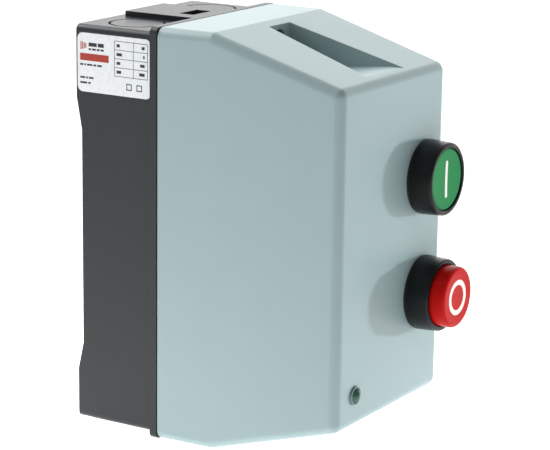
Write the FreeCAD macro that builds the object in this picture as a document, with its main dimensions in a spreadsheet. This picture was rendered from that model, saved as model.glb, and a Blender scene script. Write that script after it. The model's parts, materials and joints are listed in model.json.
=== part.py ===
"""Enclosed motor starter: a wall box with a contactor, a thermal overload relay, two buttons and a lamp.

Frame: origin on the wall plane, at the centre of the four wall holes; +X right as seen from the
front, +Z up, +Y into the wall. A depth is a distance in front of the wall, so y = -depth.
Expressions are text over the sheet's aliases, and `limits` are (low, high) pairs of them.
"""

import FreeCAD, Part
import math
import os
import re

import Sketcher

Vector = FreeCAD.Vector

# ---------------------------------------------------------------------------------------------
# Driving dimensions, in millimetres and degrees
# ---------------------------------------------------------------------------------------------

SIZES = {
    # how far a cutting tool runs past the piece it cuts
    "overrun": 1.0,
    # rear box
    "case_width": 87.0,
    "case_height": 168.0,
    "base_depth": 40.0,
    "seam_gap": 0.4,
    "flange_thickness": 3.2,
    "corner_radius": 2.5,
    "side_inset": 1.2,
    "end_inset": 2.2,
    "base_wall": 2.4,
    "base_floor": 2.5,
    "relief_depth": 2.5,
    "relief_up_inner": 39.2,
    "relief_up_outer": 52.6,
    "relief_low_inner": 49.6,
    "relief_low_outer": 60.7,
    "wall_hole_across": 66.0,
    "wall_hole_apart": 142.0,
    "wall_hole_radius": 2.6,
    "knockout_across": 52.0,
    "knockout_depth": 18.1,
    "knockout_radius": 11.0,
    "knockout_groove": 1.0,
    "knockout_groove_depth": 1.3,
    "gasket_width": 1.6,
    "gasket_sunk": 1.0,
    "gasket_inset": 1.6,
    # screw blocks, with a threaded block slid into each from outside
    "block_width": 27.0,
    "block_height": 16.0,
    "block_rear": 3.4,
    "nut_width": 12.4,
    "nut_thickness": 6.4,
    "nut_height": 10.0,
    "nut_clearance": 0.3,
    "nut_centre_depth": 28.5,
    # cover
    "cover_depth": 82.3,
    "cover_shoulder": 24.2,
    "cover_drop": 17.0,
    "cover_draft": 2.15,
    "cover_wall": 2.5,
    "cover_edge": 4.0,
    "channel_start": 28.7,
    "channel_rear_width": 15.0,
    "channel_front_width": 29.0,
    "channel_flat_start": 72.5,
    "channel_dip": 3.0,
    "channel_end": 4.5,
    # cover screws
    "screw_inset": 8.0,
    "screw_radius": 2.0,
    "screw_clearance": 0.2,
    "screw_running": 0.05,
    "screw_head_radius": 3.7,
    "screw_head_height": 2.8,
    "screw_head_sunk": 3.2,
    "screw_recess_radius": 4.6,
    "screw_end_room": 2.0,
    "screw_end_depth": 22.0,
    "screw_slot_width": 1.0,
    "screw_slot_depth": 1.1,
    "screw_boss_radius": 6.0,
    # rating label
    "label_rear": 0.7,
    "label_front": 36.2,
    "label_low": 55.0,
    "label_high": 78.7,
    "label_thickness": 0.15,
    "label_corner": 2.5,
    # buttons
    "button_across": 25.3,
    "start_height": 23.3,
    "stop_height": -24.5,
    "press_travel": 4.5,
    "panel_hole_radius": 11.2,
    "seal_thickness": 0.8,
    "seal_inset": 0.3,
    "bezel_rear_radius": 15.2,
    "bezel_front_radius": 14.7,
    "bezel_height": 10.7,
    "bezel_shoulder": 1.4,
    "barrel_radius": 11.0,
    "barrel_wall": 2.4,
    "barrel_length": 14.0,
    "guide_thickness": 2.0,
    "cap_radius": 12.5,
    "cap_clearance": 0.2,
    "cap_lift": 6.2,
    "cap_edge": 0.7,
    "start_cap_sunk": 0.5,
    "stop_cap_proud": 6.1,
    "stem_radius": 5.0,
    "stem_clearance": 0.25,
    "stem_past_guide": 1.5,
    "mark_depth": 0.5,
    "mark_proud": 0.03,
    "bar_mark_length": 15.3,
    "bar_mark_width": 1.8,
    "ring_mark_outer": 7.25,
    "ring_mark_inner": 5.1,
    "lock_nut_radius": 13.0,
    "lock_nut_thickness": 4.0,
    "lock_notch_width": 3.0,
    "lock_notch_depth": 1.6,
    "button_spring_wire": 0.45,
    "rod_radius": 4.0,
    "rod_plate": 2.0,
    "rod_nose_radius": 3.0,
    "rod_gap": 0.3,
    "stop_rod_room": 3.0,
    # indicator lamp
    "lamp_across": 27.5,
    "lamp_height": -54.6,
    "lamp_hole_radius": 3.2,
    "lamp_barrel_radius": 3.1,
    "lamp_barrel_wall": 0.6,
    "lamp_barrel_length": 9.0,
    "lamp_ring_radius": 3.8,
    "lamp_ring_height": 0.9,
    "lamp_ring_lip": 0.8,
    "lamp_dome_height": 2.4,
    "lamp_lens_depth": 4.0,
    "lamp_nut_radius": 4.8,
    "lamp_nut_thickness": 2.4,
    "lamp_led_radius": 2.3,
    "lamp_led_gap": 0.2,
    "lamp_lead_radius": 0.6,
    "lamp_lead_across": 2.6,
    "lamp_lead_start": 1.1,
    # rail
    "rail_height": 35.0,
    "rail_depth": 7.5,
    "rail_sheet": 1.0,
    "rail_web": 27.0,
    "rail_length": 68.0,
    "rail_screw_across": 52.0,
    "rail_screw_radius": 1.75,
    "rail_screw_head": 3.2,
    "rail_screw_head_height": 2.2,
    "rail_boss_radius": 4.5,
    "rail_boss_rear": 0.3,
    "floor_skin": 1.0,
    "floor_screw_end": 1.4,
    # terminal block for the lamp, and the earth terminal
    "tb_width": 13.0,
    "tb_height": 10.0,
    "tb_depth": 12.0,
    "tab_width": 2.8,
    "tab_sheet": 0.8,
    "tab_length": 7.0,
    "sleeve_wall": 0.4,
    "sleeve_length": 8.0,
    "sleeve_gap": 1.0,
    "earth_across": -16.0,
    "earth_height": -63.0,
    "earth_plate": 8.0,
    "earth_sheet": 1.5,
    "earth_screw_radius": 2.0,
    "earth_head_radius": 3.8,
    "earth_head_height": 2.4,
    # contactor
    "contactor_across": 16.0,
    "contactor_centre": 24.0,
    "contactor_width": 45.0,
    "contactor_height": 72.0,
    "contactor_lower_height": 68.0,
    "contactor_lower_depth": 39.5,
    "contactor_upper_depth": 32.0,
    "contactor_front_depth": 12.5,
    "contactor_wall": 2.0,
    "contactor_cavity_height": 48.0,
    "chamber_height": 38.0,
    "chamber_width": 39.2,
    "hook_clearance": 0.2,
    "hook_reach": 2.0,
    "hook_height": 3.0,
    "hook_half_width": 10.0,
    "core_width": 34.0,
    "core_thickness": 14.0,
    "core_window_inner": 6.0,
    "core_window_outer": 11.0,
    "core_yoke": 6.5,
    "core_leg": 11.5,
    "core_seat": 1.0,
    "core_seat_margin": 4.0,
    "air_gap_rest": 0.5,
    "bobbin_clearance": 0.3,
    "bobbin_wall": 1.1,
    "bobbin_flange": 1.2,
    "bobbin_flange_height": 34.0,
    "bobbin_length": 22.7,
    "winding_height": 27.0,
    "winding_width": 20.2,
    "carrier_plate": 3.0,
    "carrier_plate_width": 38.0,
    "carrier_plate_height": 36.0,
    "carrier_block_half": 5.0,
    "carrier_block_end": 3.0,
    "cheek_half_width": 9.0,
    "cheek_thickness": 2.5,
    "cheek_gap": 0.5,
    "carrier_tab_half_width": 5.0,
    "carrier_tab_half_height": 7.0,
    "carrier_tab_sunk": 1.0,
    "window_clearance": 0.6,
    "pole_pitch": 10.5,
    "pole_window": 5.8,
    "bridge_width": 5.2,
    "bridge_length": 24.0,
    "bridge_sheet": 1.0,
    "bridge_spring_room": 8.6,
    "contact_tip": 0.8,
    "contact_tip_length": 3.0,
    "contact_tip_centre": 10.0,
    "contact_tip_margin": 0.6,
    "contact_close_gap": 0.1,
    "contact_spring_radius": 1.7,
    "contact_spring_wire": 0.25,
    "return_spring_radius": 2.5,
    "return_spring_wire": 0.3,
    "return_spring_height": 13.5,
    "strip_level": 8.0,
    "strip_sheet": 1.2,
    "strip_width": 5.2,
    "strip_inner": 8.5,
    "strip_outer": 33.5,
    "pocket_width": 8.8,
    "pocket_inner": 20.5,
    "terminal_height": 28.5,
    "terminal_screw_radius": 1.7,
    "terminal_head_radius": 3.2,
    "terminal_head_height": 2.5,
    "terminal_washer": 6.0,
    "terminal_washer_sheet": 1.2,
    "terminal_screw_length": 7.0,
    "terminal_screw_room": 0.5,
    "terminal_slot_width": 0.8,
    "slot_clearance": 0.2,
    "coil_terminal_across": 12.0,
    "coil_terminal_width": 7.0,
    "coil_terminal_sheet": 1.0,
    "coil_terminal_rear": 24.0,
    "coil_terminal_front": 34.0,
    "coil_screw_radius": 1.5,
    "coil_head_radius": 2.8,
    "coil_head_height": 2.2,
    "coil_screw_length": 6.0,
    "coil_bore_length": 7.0,
    "clip_width": 10.0,
    "clip_sheet": 2.3,
    "clip_tail": 5.0,
    "clip_eye_half_width": 1.5,
    "clip_eye_half_height": 1.0,
    "clip_eye_up": 2.5,
    # thermal overload relay
    "relay_gap": 1.0,
    "relay_width": 45.0,
    "relay_height": 46.0,
    "relay_rear": 30.0,
    "relay_front": 78.0,
    "relay_wall": 3.0,
    "relay_cap_depth": 14.0,
    "relay_cap_wall": 2.0,
    "relay_terminal_height": 9.0,
    "relay_terminal_up": 3.5,
    "relay_strip_sunk": 16.0,
    "relay_strip_inset": 0.5,
    "relay_strip_lap": 1.5,
    "mechanism_height": 14.0,
    "mechanism_rear": 46.0,
    "bimetal_chamber": 9.2,
    "bimetal_chamber_height": 19.0,
    "partition": 1.5,
    "bimetal_sheet": 1.0,
    "bimetal_width": 6.0,
    "bimetal_rear": 50.0,
    "bimetal_neck_play": 0.5,
    "heater_radius": 3.7,
    "heater_wire": 0.35,
    "heater_end_gap": 3.0,
    "pin_width": 3.0,
    "pin_sheet": 1.0,
    "control_width": 3.4,
    "control_pocket": 4.4,
    "control_first": 13.4,
    "control_second": 18.2,
    "control_head_radius": 2.0,
    "control_screw_radius": 1.0,
    "control_end_gap": 0.3,
    "slider_thickness": 2.0,
    "slider_depth": 10.0,
    "slider_left": 19.0,
    "slider_right": 16.1,
    "slider_travel": 1.5,
    "slider_notch_play": 0.3,
    "slider_gap": 0.5,
    "slider_rear_play": 2.0,
    "lever_across": 17.0,
    "lever_arm": 5.5,
    "lever_thickness": 1.2,
    "lever_pin_radius": 1.0,
    "lever_running": 0.05,
    "lever_up": 7.0,
    "lever_depth": 4.0,
    "lever_hub_wall": 1.2,
    "finger_length": 3.0,
    "finger_low": 1.0,
    "finger_high": 2.2,
    "reset_radius": 3.5,
    "reset_running": 0.3,
    "reset_flange": 4.8,
    "reset_flange_thickness": 1.5,
    "reset_spring_radius": 2.9,
    "reset_spring_wire": 0.3,
    "reset_shelf_rear": 60.0,
    "reset_shelf_front": 63.0,
    "reset_stroke_room": 0.3,
    "dial_across": -12.0,
    "dial_below_top": 9.0,
    "dial_radius": 5.0,
    "dial_running": 0.05,
    "dial_proud": 1.6,
    "dial_shaft_radius": 2.5,
    "dial_shaft_length": 10.0,
    "dial_slot": 1.2,
    "dial_slot_depth": 1.2,
    "dial_slot_end": 1.0,
    "dial_behind": 1.0,
    # internal wires
    "wire_radius": 1.0,
}

document = FreeCAD.newDocument("MotorStarter")
sheet = document.addObject("Spreadsheet::Sheet", "Sizes")
for row, (alias, size) in enumerate(SIZES.items(), start=1):
    sheet.set(f"A{row}", str(size))
    sheet.setAlias(f"A{row}", alias)
document.recompute()

# Depths and heights that several pieces share, as expressions over the sheet
JOINT = "base_depth"
FRONT = "(base_depth + cover_depth)"
PANEL = "(base_depth + cover_depth - cover_wall)"
FLOOR = "(relief_depth + base_floor)"
FLANGE_FRONT = "(base_depth - seam_gap)"
FLANGE_REAR = "(base_depth - seam_gap - flange_thickness)"
HALF_WIDTH = "(case_width / 2)"
HALF_HEIGHT = "(case_height / 2)"
BODY_SIDE = "(case_width / 2 - side_inset)"
BODY_END = "(case_height / 2 - end_inset)"
SLOPE_EDGE = "(case_height / 2 - cover_drop)"
SCREW_HEIGHT = "(case_height / 2 - screw_inset)"
CHANNEL_WALL = "(base_depth + channel_start)"
RAIL_FRONT = f"({FLOOR} + rail_depth)"
SPLIT = f"({RAIL_FRONT} + contactor_lower_depth)"
FRONT_SPLIT = f"({SPLIT} + contactor_upper_depth)"
CONTACTOR_FRONT = f"({FRONT_SPLIT} + contactor_front_depth)"
CX = "contactor_across"
CZ = "contactor_centre"
CORE_REAR = f"({RAIL_FRONT} + contactor_wall + core_seat)"
CORE_FACE = f"({CORE_REAR} + core_yoke + core_leg)"
ARMATURE_FACE = f"({CORE_FACE} + air_gap_rest + press_travel)"
ARMATURE_FRONT = f"({ARMATURE_FACE} + core_leg + core_yoke)"
BOBBIN_REAR = f"({CORE_REAR} + core_yoke + bobbin_clearance)"
BOBBIN_FRONT = f"({BOBBIN_REAR} + bobbin_length)"
STRIP = f"({SPLIT} + strip_level)"
FIXED_TIP = f"({STRIP} + strip_sheet + contact_tip)"
BRIDGE_TIP = f"({FIXED_TIP} + press_travel + contact_close_gap)"
BRIDGE = f"({BRIDGE_TIP} + contact_tip)"
BLOCK_FRONT = f"({BRIDGE} + bridge_sheet + bridge_spring_room + carrier_block_end)"
RELAY_TOP = f"({CZ} - contactor_height / 2 - relay_gap)"
RELAY_LOW = f"({RELAY_TOP} - relay_height)"
RELAY_CAP = "(relay_front + relay_cap_depth)"
MECHANISM_TOP = f"({RELAY_TOP} - relay_wall)"
MECHANISM_LOW = f"({MECHANISM_TOP} - mechanism_height)"
BIMETAL_TOP = f"({MECHANISM_LOW} - partition)"
BIMETAL_LOW = f"({BIMETAL_TOP} - bimetal_chamber_height)"
POCKET_TOP = f"({RELAY_LOW} + relay_terminal_height - partition)"
GUIDE_REAR = f"({PANEL} - barrel_length)"
STEM_END = f"({GUIDE_REAR} - stem_past_guide)"
CAP_REAR = f"({FRONT} + cap_lift)"
START_FRONT = f"({FRONT} + bezel_height - start_cap_sunk)"
STOP_FRONT = f"({FRONT} + bezel_height + stop_cap_proud)"
BUTTON_SPRING_RADIUS = "((stem_radius + barrel_radius - barrel_wall) / 2)"
RESET_FACE = f"({STEM_END} - press_travel - stop_rod_room)"
LAMP_X = "(-lamp_across)"
WASHER_TOP = f"({STRIP} + strip_sheet + terminal_washer_sheet)"
PIN_REAR = f"({STRIP} + strip_sheet)"
RELAY_STRIP = "(relay_front - relay_strip_sunk)"
RELAY_WASHER_TOP = f"({RELAY_STRIP} + strip_sheet + terminal_washer_sheet)"
RELAY_TERMINAL_Z = f"({RELAY_LOW} + relay_terminal_up)"
LEVER_Z = f"({MECHANISM_LOW} + lever_up)"
DIAL_X = f"({CX} + dial_across)"
DIAL_Z = f"({RELAY_TOP} - dial_below_top)"
SLIDER_Z = (f"{MECHANISM_LOW} + slider_gap", f"{MECHANISM_LOW} + slider_gap + slider_thickness")
SLIDER_DEPTH = ("bimetal_rear - slider_rear_play", "bimetal_rear - slider_rear_play + slider_depth")

POLES = (-1.5, -0.5, 0.5, 1.5)
RELAY_POLES = POLES[:3]
CONTROLS = ("control_first", "control_second")
ENDS = (1, -1)
BUTTONS = (("start", "start_height"), ("stop", "stop_height"))

# Two places closer than this are the same, in millimetres
NEAR = 1e-3

nodes = {}


def length(alias):
    """A size from the sheet, for the few shapes that are worked out in code."""
    return float(sheet.get(alias))


def sized(expression):
    """The expression with every alias turned into a reference to the sheet."""

    def referred(word):
        return f"Sizes.{word.group()}" if word.group() in SIZES else word.group()

    return re.sub(r"[A-Za-z_]+", referred, expression)


def bind(item, **settings):
    """Bind properties to expressions; an underscore pair in a name stands for a dot."""
    for name, expression in settings.items():
        item.setExpression(name.replace("__", "."), sized(str(expression)))
    return item


def node(item, label):
    """Name a finished sub-part; the name is also that of its file."""
    item.Label = label
    nodes[label] = item
    return item


# ---------------------------------------------------------------------------------------------
# Part primitives: boxes by their limits, cylinders and cones by their axis
# ---------------------------------------------------------------------------------------------


def box(x, depth, z):
    """Box between low and high limits in X, depth and Z."""
    item = document.addObject("Part::Box", "Box")
    bind(item, Length=f"({x[1]}) - ({x[0]})")
    bind(item, Width=f"({depth[1]}) - ({depth[0]})")
    bind(item, Height=f"({z[1]}) - ({z[0]})")
    return bind(item, Placement__Base__x=x[0], Placement__Base__y=f"-({depth[1]})", Placement__Base__z=z[0])


def around(middle, half):
    """Low and high limits at an equal distance from a middle."""
    return f"({middle}) - ({half})", f"({middle}) + ({half})"


def block(x, half_x, depth, z, half_z):
    """Box centred on x and z, between two depths."""
    return box(around(x, half_x), depth, around(z, half_z))


def turned(item, x, depth, z, axis):
    """Stand a primitive, made along +Z, on a point and along an axis: X, forwards or Z."""
    turns = {
        "x": FreeCAD.Rotation(Vector(0, 1, 0), 90),
        "forwards": FreeCAD.Rotation(Vector(1, 0, 0), 90),
        "z": FreeCAD.Rotation(),
    }
    item.Placement = FreeCAD.Placement(Vector(), turns[axis])
    return bind(item, Placement__Base__x=x, Placement__Base__y=f"-({depth})", Placement__Base__z=z)


def pin(radius, x, depth, z):
    """Cylinder from the first depth forwards to the second."""
    item = document.addObject("Part::Cylinder", "Pin")
    bind(item, Radius=radius, Height=f"({depth[1]}) - ({depth[0]})")
    return turned(item, x, depth[0], z, "forwards")


def upright(radius, x, depth, z):
    """Cylinder along Z between two heights."""
    item = document.addObject("Part::Cylinder", "Upright")
    bind(item, Radius=radius, Height=f"({z[1]}) - ({z[0]})")
    return turned(item, x, depth, z[0], "z")


def cone(radii, x, depth, z):
    """Cone along the depth, with a radius at each end."""
    item = document.addObject("Part::Cone", "Taper")
    bind(item, Radius1=radii[0], Radius2=radii[1], Height=f"({depth[1]}) - ({depth[0]})")
    return turned(item, x, depth[0], z, "forwards")


def fuse(*items):
    if len(items) == 1:
        return items[0]
    item = document.addObject("Part::MultiFuse", "Fusion")
    item.Shapes = list(items)
    return item


def cut(base, *tools):
    item = document.addObject("Part::Cut", "Cut")
    item.Base = base
    item.Tool = fuse(*tools)
    return item


def group(items, label):
    """Several separate solids in one sub-part."""
    item = document.addObject("Part::Compound", "Group")
    item.Links = list(items)
    return node(item, label)


def tube(outer, inner, x, depth, z):
    past = (f"({depth[0]}) - overrun", f"({depth[1]}) + overrun")
    return cut(pin(outer, x, depth, z), pin(inner, x, past, z))


def rounded(base, radius, wanted):
    """Fillet the edges that `wanted` picks by their geometry."""
    document.recompute()
    item = document.addObject("Part::Fillet", "Rounded")
    item.Base = base
    size = length(radius)
    numbers = [number for number, edge in enumerate(base.Shape.Edges, start=1) if wanted(edge)]
    item.Edges = [(number, size, size) for number in numbers]
    return item


def shaped(shape):
    """A feature for a shape that is worked out in code."""
    item = document.addObject("Part::Feature", "Shaped")
    item.Shape = shape
    return item


# ---------------------------------------------------------------------------------------------
# PartDesign bodies: sketches on the body's own planes, pads and pockets
# ---------------------------------------------------------------------------------------------


def new_body():
    return document.addObject("PartDesign::Body", "Body")


def sketch_on(body, role, offset="0"):
    """Empty sketch on one of the body's origin planes, moved along its normal.

    On XZ the normal points forwards, so the offset is a depth; on YZ it is +X and on XY +Z.
    """
    plane = [feature for feature in body.Origin.OriginFeatures if feature.Role == role][0]
    sketch = body.newObject("Sketcher::SketchObject", "Sketch")
    sketch.AttachmentSupport = [(plane, "")]
    sketch.MapMode = "FlatFace"
    bind(sketch, AttachmentOffset__Base__z=offset)
    return sketch


def constrain(sketch, constraint, expression):
    number = sketch.addConstraint(constraint)
    sketch.setExpression(f"Constraints[{number}]", sized(str(expression)))


def add_outline(sketch, corners):
    """Closed outline; every corner is placed from the sketch's origin by two expressions."""
    count = len(corners)
    first = len(sketch.Geometry)
    turn = 2 * math.pi / count
    points = [Vector(math.cos(turn * index), math.sin(turn * index), 0) for index in range(count)]
    for index in range(count):
        sketch.addGeometry(Part.LineSegment(points[index], points[(index + 1) % count]), False)
    for index in range(count):
        following = first + (index + 1) % count
        sketch.addConstraint(Sketcher.Constraint("Coincident", first + index, 2, following, 1))
    for index, (across, up) in enumerate(corners):
        constrain(sketch, Sketcher.Constraint("DistanceX", -1, 1, first + index, 1, 1.0), across)
        constrain(sketch, Sketcher.Constraint("DistanceY", -1, 1, first + index, 1, 1.0), up)
    return sketch


def add_rectangle(sketch, x, z):
    return add_outline(sketch, [(x[0], z[0]), (x[1], z[0]), (x[1], z[1]), (x[0], z[1])])


def add_circle(sketch, radius, across, up):
    number = sketch.addGeometry(Part.Circle(Vector(1, 1, 0), Vector(0, 0, 1), 1.0), False)
    constrain(sketch, Sketcher.Constraint("Radius", number, 1.0), radius)
    constrain(sketch, Sketcher.Constraint("DistanceX", -1, 1, number, 3, 1.0), across)
    constrain(sketch, Sketcher.Constraint("DistanceY", -1, 1, number, 3, 1.0), up)
    return sketch


def pad(body, sketch, thickness, symmetric=False):
    item = body.newObject("PartDesign::Pad", "Pad")
    item.Profile = sketch
    item.SideType = "Symmetric" if symmetric else "One side"
    return bind(item, Length=thickness)


def pocket(body, sketch, thickness, symmetric=False, along_normal=False):
    """Cut against the sketch's normal (rearwards on XZ) unless told otherwise; it must remove something."""
    document.recompute()
    before = body.Shape.Volume
    item = body.newObject("PartDesign::Pocket", "Pocket")
    item.Profile = sketch
    item.SideType = "Symmetric" if symmetric else "One side"
    item.Reversed = along_normal
    bind(item, Length=thickness)
    document.recompute()
    if body.Shape.Volume > before - NEAR:
        raise RuntimeError(f"{item.Name} in {body.Name} cuts nothing")
    return item


def body_fillet(body, radius, wanted):
    document.recompute()
    tip = body.Tip
    names = [f"Edge{number}" for number, edge in enumerate(tip.Shape.Edges, start=1) if wanted(edge)]
    item = body.newObject("PartDesign::Fillet", "Fillet")
    item.Base = (tip, names)
    return bind(item, Radius=radius)


def runs_along(axis):
    """Rule for picking straight edges along one axis."""

    def rule(edge):
        if not isinstance(edge.Curve, Part.Line):
            return False
        return abs(edge.Curve.Direction.dot(axis)) > 0.999

    return rule


# ---------------------------------------------------------------------------------------------
# Wires, worked out in code from the sheet
# ---------------------------------------------------------------------------------------------


def wire_path(points):
    """Straight runs joined by tangent arcs, each as large as its two runs allow."""
    edges = []
    last = points[0]
    for before, corner, after in zip(points, points[1:], points[2:]):
        arriving = corner.sub(before)
        leaving = after.sub(corner)
        turn = arriving.getAngle(leaving)
        shorter = min(arriving.Length, leaving.Length)
        radius = 0.45 * shorter / math.tan(turn / 2)
        setback = 0.45 * shorter
        arriving.normalize()
        leaving.normalize()
        start = corner - arriving * setback
        finish = corner + leaving * setback
        inwards = leaving - arriving
        inwards.normalize()
        middle = corner + inwards * (radius / math.cos(turn / 2) - radius)
        edges.append(Part.LineSegment(last, start).toShape())
        edges.append(Part.Arc(start, middle, finish).toShape())
        last = finish
        print(f"wire arc radius {radius:.1f} mm")
    edges.append(Part.LineSegment(last, points[-1]).toShape())
    return Part.Wire(edges)


def wire_solid(points, radius):
    path = wire_path(points)
    first = path.Edges[0]
    start = first.valueAt(first.FirstParameter)
    direction = first.tangentAt(first.FirstParameter)
    section = Part.Wire(Part.Circle(start, direction, radius).toShape())
    shape = path.makePipeShell([section], True, False)
    expected = math.pi * radius**2 * path.Length
    if abs(shape.Volume - expected) > 0.02 * expected:
        raise RuntimeError(f"wire volume {shape.Volume:.1f}, expected {expected:.1f}")
    return shape


def at(x, depth, z):
    return Vector(x, -depth, z)


# ---------------------------------------------------------------------------------------------
# Enclosure
# ---------------------------------------------------------------------------------------------


def base_box():
    """Open-fronted moulded box: flange, screw blocks, wall holes, knockouts and a rear relief."""
    body = new_body()
    both_x = (f"-{BODY_SIDE}", BODY_SIDE)
    both_z = (f"-{BODY_END}", BODY_END)
    pad(body, add_rectangle(sketch_on(body, "XZ_Plane"), both_x, both_z), FLANGE_FRONT)
    flange = sketch_on(body, "XZ_Plane", FLANGE_REAR)
    add_rectangle(flange, (f"-{HALF_WIDTH}", HALF_WIDTH), (f"-{HALF_HEIGHT}", HALF_HEIGHT))
    pad(body, flange, "flange_thickness")
    body_fillet(body, "corner_radius", runs_along(Vector(0, 1, 0)))
    inner_x = f"({BODY_SIDE} - base_wall)"
    inner_z = f"({BODY_END} - base_wall)"
    cavity = add_rectangle(
        sketch_on(body, "XZ_Plane", FLANGE_FRONT), (f"-{inner_x}", inner_x), (f"-{inner_z}", inner_z)
    )
    pocket(body, cavity, f"{FLANGE_FRONT} - {FLOOR}")
    for side in ENDS:
        outer = f"{side} * {HALF_HEIGHT}"
        inner = f"{side} * ({HALF_HEIGHT} - block_height)"
        raised = sketch_on(body, "XZ_Plane", "block_rear")
        add_rectangle(raised, around("0", "block_width / 2"), (inner, outer))
        pad(body, raised, f"{FLANGE_FRONT} - block_rear")
    relief = sketch_on(body, "YZ_Plane")
    corners = [
        ("overrun", "relief_up_outer"),
        ("0", "relief_up_outer"),
        ("-relief_depth", "relief_up_inner"),
        ("-relief_depth", "-relief_low_inner"),
        ("0", "-relief_low_outer"),
        ("overrun", "-relief_low_outer"),
    ]
    pocket(body, add_outline(relief, corners), "2 * case_width", symmetric=True)
    for side in ENDS:
        slot = add_rectangle(
            sketch_on(body, "XY_Plane", f"{side} * {HALF_HEIGHT}"),
            around("0", "nut_width / 2 + nut_clearance"),
            around("-nut_centre_depth", "nut_thickness / 2 + nut_clearance"),
        )
        pocket(body, slot, "screw_inset + nut_height / 2", along_normal=side < 0)
        bore = sketch_on(body, "XZ_Plane", FLANGE_FRONT)
        add_circle(bore, "screw_radius + screw_clearance", "0", f"{side} * {SCREW_HEIGHT}")
        pocket(body, bore, f"{FLANGE_FRONT} - screw_end_depth + screw_end_room")
        for hand in ENDS:
            ring = sketch_on(body, "XY_Plane", f"{side} * {BODY_END}")
            centre = f"{hand} * knockout_across / 2"
            add_circle(ring, "knockout_radius + knockout_groove / 2", centre, "-knockout_depth")
            add_circle(ring, "knockout_radius - knockout_groove / 2", centre, "-knockout_depth")
            pocket(body, ring, "knockout_groove_depth", along_normal=side < 0)
    holes = sketch_on(body, "XZ_Plane", f"{FLOOR} + overrun")
    for hand in ENDS:
        for side in ENDS:
            place = (f"{hand} * wall_hole_across / 2", f"{side} * wall_hole_apart / 2")
            add_circle(holes, "wall_hole_radius", *place)
    pocket(body, holes, f"{FLOOR} + 2 * overrun")
    for hand in ENDS:
        boss = sketch_on(body, "XZ_Plane", "rail_boss_rear")
        add_circle(boss, "rail_boss_radius", f"{hand} * rail_screw_across / 2", CZ)
        pad(body, boss, "relief_depth - rail_boss_rear")
    screw_holes = sketch_on(body, "XZ_Plane", FLOOR)
    for hand in ENDS:
        add_circle(screw_holes, "rail_screw_radius", f"{hand} * rail_screw_across / 2", CZ)
    add_circle(screw_holes, "earth_screw_radius", "earth_across", "earth_height")
    pocket(body, screw_holes, f"{FLOOR} - floor_skin")
    groove = sketch_on(body, "XZ_Plane", FLANGE_FRONT)
    for inset in ("gasket_inset", "gasket_inset + gasket_width"):
        edge_x = f"({HALF_WIDTH} - ({inset}))"
        edge_z = f"({HALF_HEIGHT} - ({inset}))"
        add_rectangle(groove, (f"-{edge_x}", edge_x), (f"-{edge_z}", edge_z))
    pocket(body, groove, "gasket_sunk")
    node(body, "base_box")


def rim_gasket():
    """Rubber frame that lies in the flange's groove and meets the cover's rim."""
    body = new_body()
    frame = sketch_on(body, "XZ_Plane", f"{FLANGE_FRONT} - gasket_sunk")
    for inset in ("gasket_inset", "gasket_inset + gasket_width"):
        edge_x = f"({HALF_WIDTH} - ({inset}))"
        edge_z = f"({HALF_HEIGHT} - ({inset}))"
        add_rectangle(frame, (f"-{edge_x}", edge_x), (f"-{edge_z}", edge_z))
    pad(body, frame, "gasket_sunk + seam_gap")
    node(body, "rim_gasket")


def hull(inset, rear):
    """Solid outer form of the cover, drawn in by a wall: a side profile cut by a drafted plan."""
    front = f"({FRONT} - ({inset}))"
    shoulder = f"({JOINT} + cover_shoulder)"
    tall = f"({HALF_HEIGHT} - ({inset}))"
    short = f"({SLOPE_EDGE} - ({inset}))"
    wide = f"({HALF_WIDTH} - ({inset}))"
    narrow = f"({HALF_WIDTH} - cover_draft - ({inset}))"
    body = new_body()
    profile = [
        (f"-({rear})", f"-{tall}"),
        (f"-{shoulder}", f"-{tall}"),
        (f"-{front}", f"-{short}"),
        (f"-{front}", short),
        (f"-{shoulder}", tall),
        (f"-({rear})", tall),
    ]
    pad(body, add_outline(sketch_on(body, "YZ_Plane"), profile), "2 * case_width", symmetric=True)
    for hand in ENDS:
        plan = [
            (f"{hand} * {wide}", f"-({JOINT})"),
            (f"{hand} * {narrow}", f"-{FRONT}"),
            (f"{hand} * {narrow}", f"-{FRONT} - overrun"),
            (f"{hand} * 2 * case_width", f"-{FRONT} - overrun"),
            (f"{hand} * 2 * case_width", "0"),
            (f"{hand} * {wide}", "0"),
        ]
        pocket(body, add_outline(sketch_on(body, "XY_Plane"), plan), "2 * case_height", symmetric=True)
    return body


def channel(side, grow, top):
    """Screwdriver channel in one slope: drafted plan, flat floor at the front that dips rearwards.

    The floor comes out through the slope at `channel_end` behind the front.
    """
    rear = f"({CHANNEL_WALL} - ({grow}))"
    floor = f"({SLOPE_EDGE} + cover_drop * channel_end / (cover_depth - cover_shoulder) - ({grow}))"
    dipped = f"({SLOPE_EDGE} - channel_dip - ({grow}))"
    flat_from = f"({JOINT} + channel_flat_start)"
    profile = [
        (f"-{rear}", f"{side} * ({top})"),
        (f"-{rear}", f"{side} * {dipped}"),
        (f"-{flat_from}", f"{side} * {floor}"),
        (f"-{FRONT} - overrun", f"{side} * {floor}"),
        (f"-{FRONT} - overrun", f"{side} * ({top})"),
    ]
    body = new_body()
    pad(body, add_outline(sketch_on(body, "YZ_Plane"), profile), "case_width", symmetric=True)
    for hand in ENDS:
        plan = [
            (f"{hand} * (channel_rear_width / 2 + ({grow}))", f"-{rear} + overrun"),
            (f"{hand} * (channel_rear_width / 2 + ({grow}))", f"-{rear}"),
            (f"{hand} * (channel_front_width / 2 + ({grow}))", f"-{FRONT}"),
            (f"{hand} * (channel_front_width / 2 + ({grow}))", f"-{FRONT} - 2 * overrun"),
            (f"{hand} * case_width", f"-{FRONT} - 2 * overrun"),
            (f"{hand} * case_width", f"-{rear} + overrun"),
        ]
        pocket(body, add_outline(sketch_on(body, "XY_Plane"), plan), "4 * case_height", symmetric=True)
    return body


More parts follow.
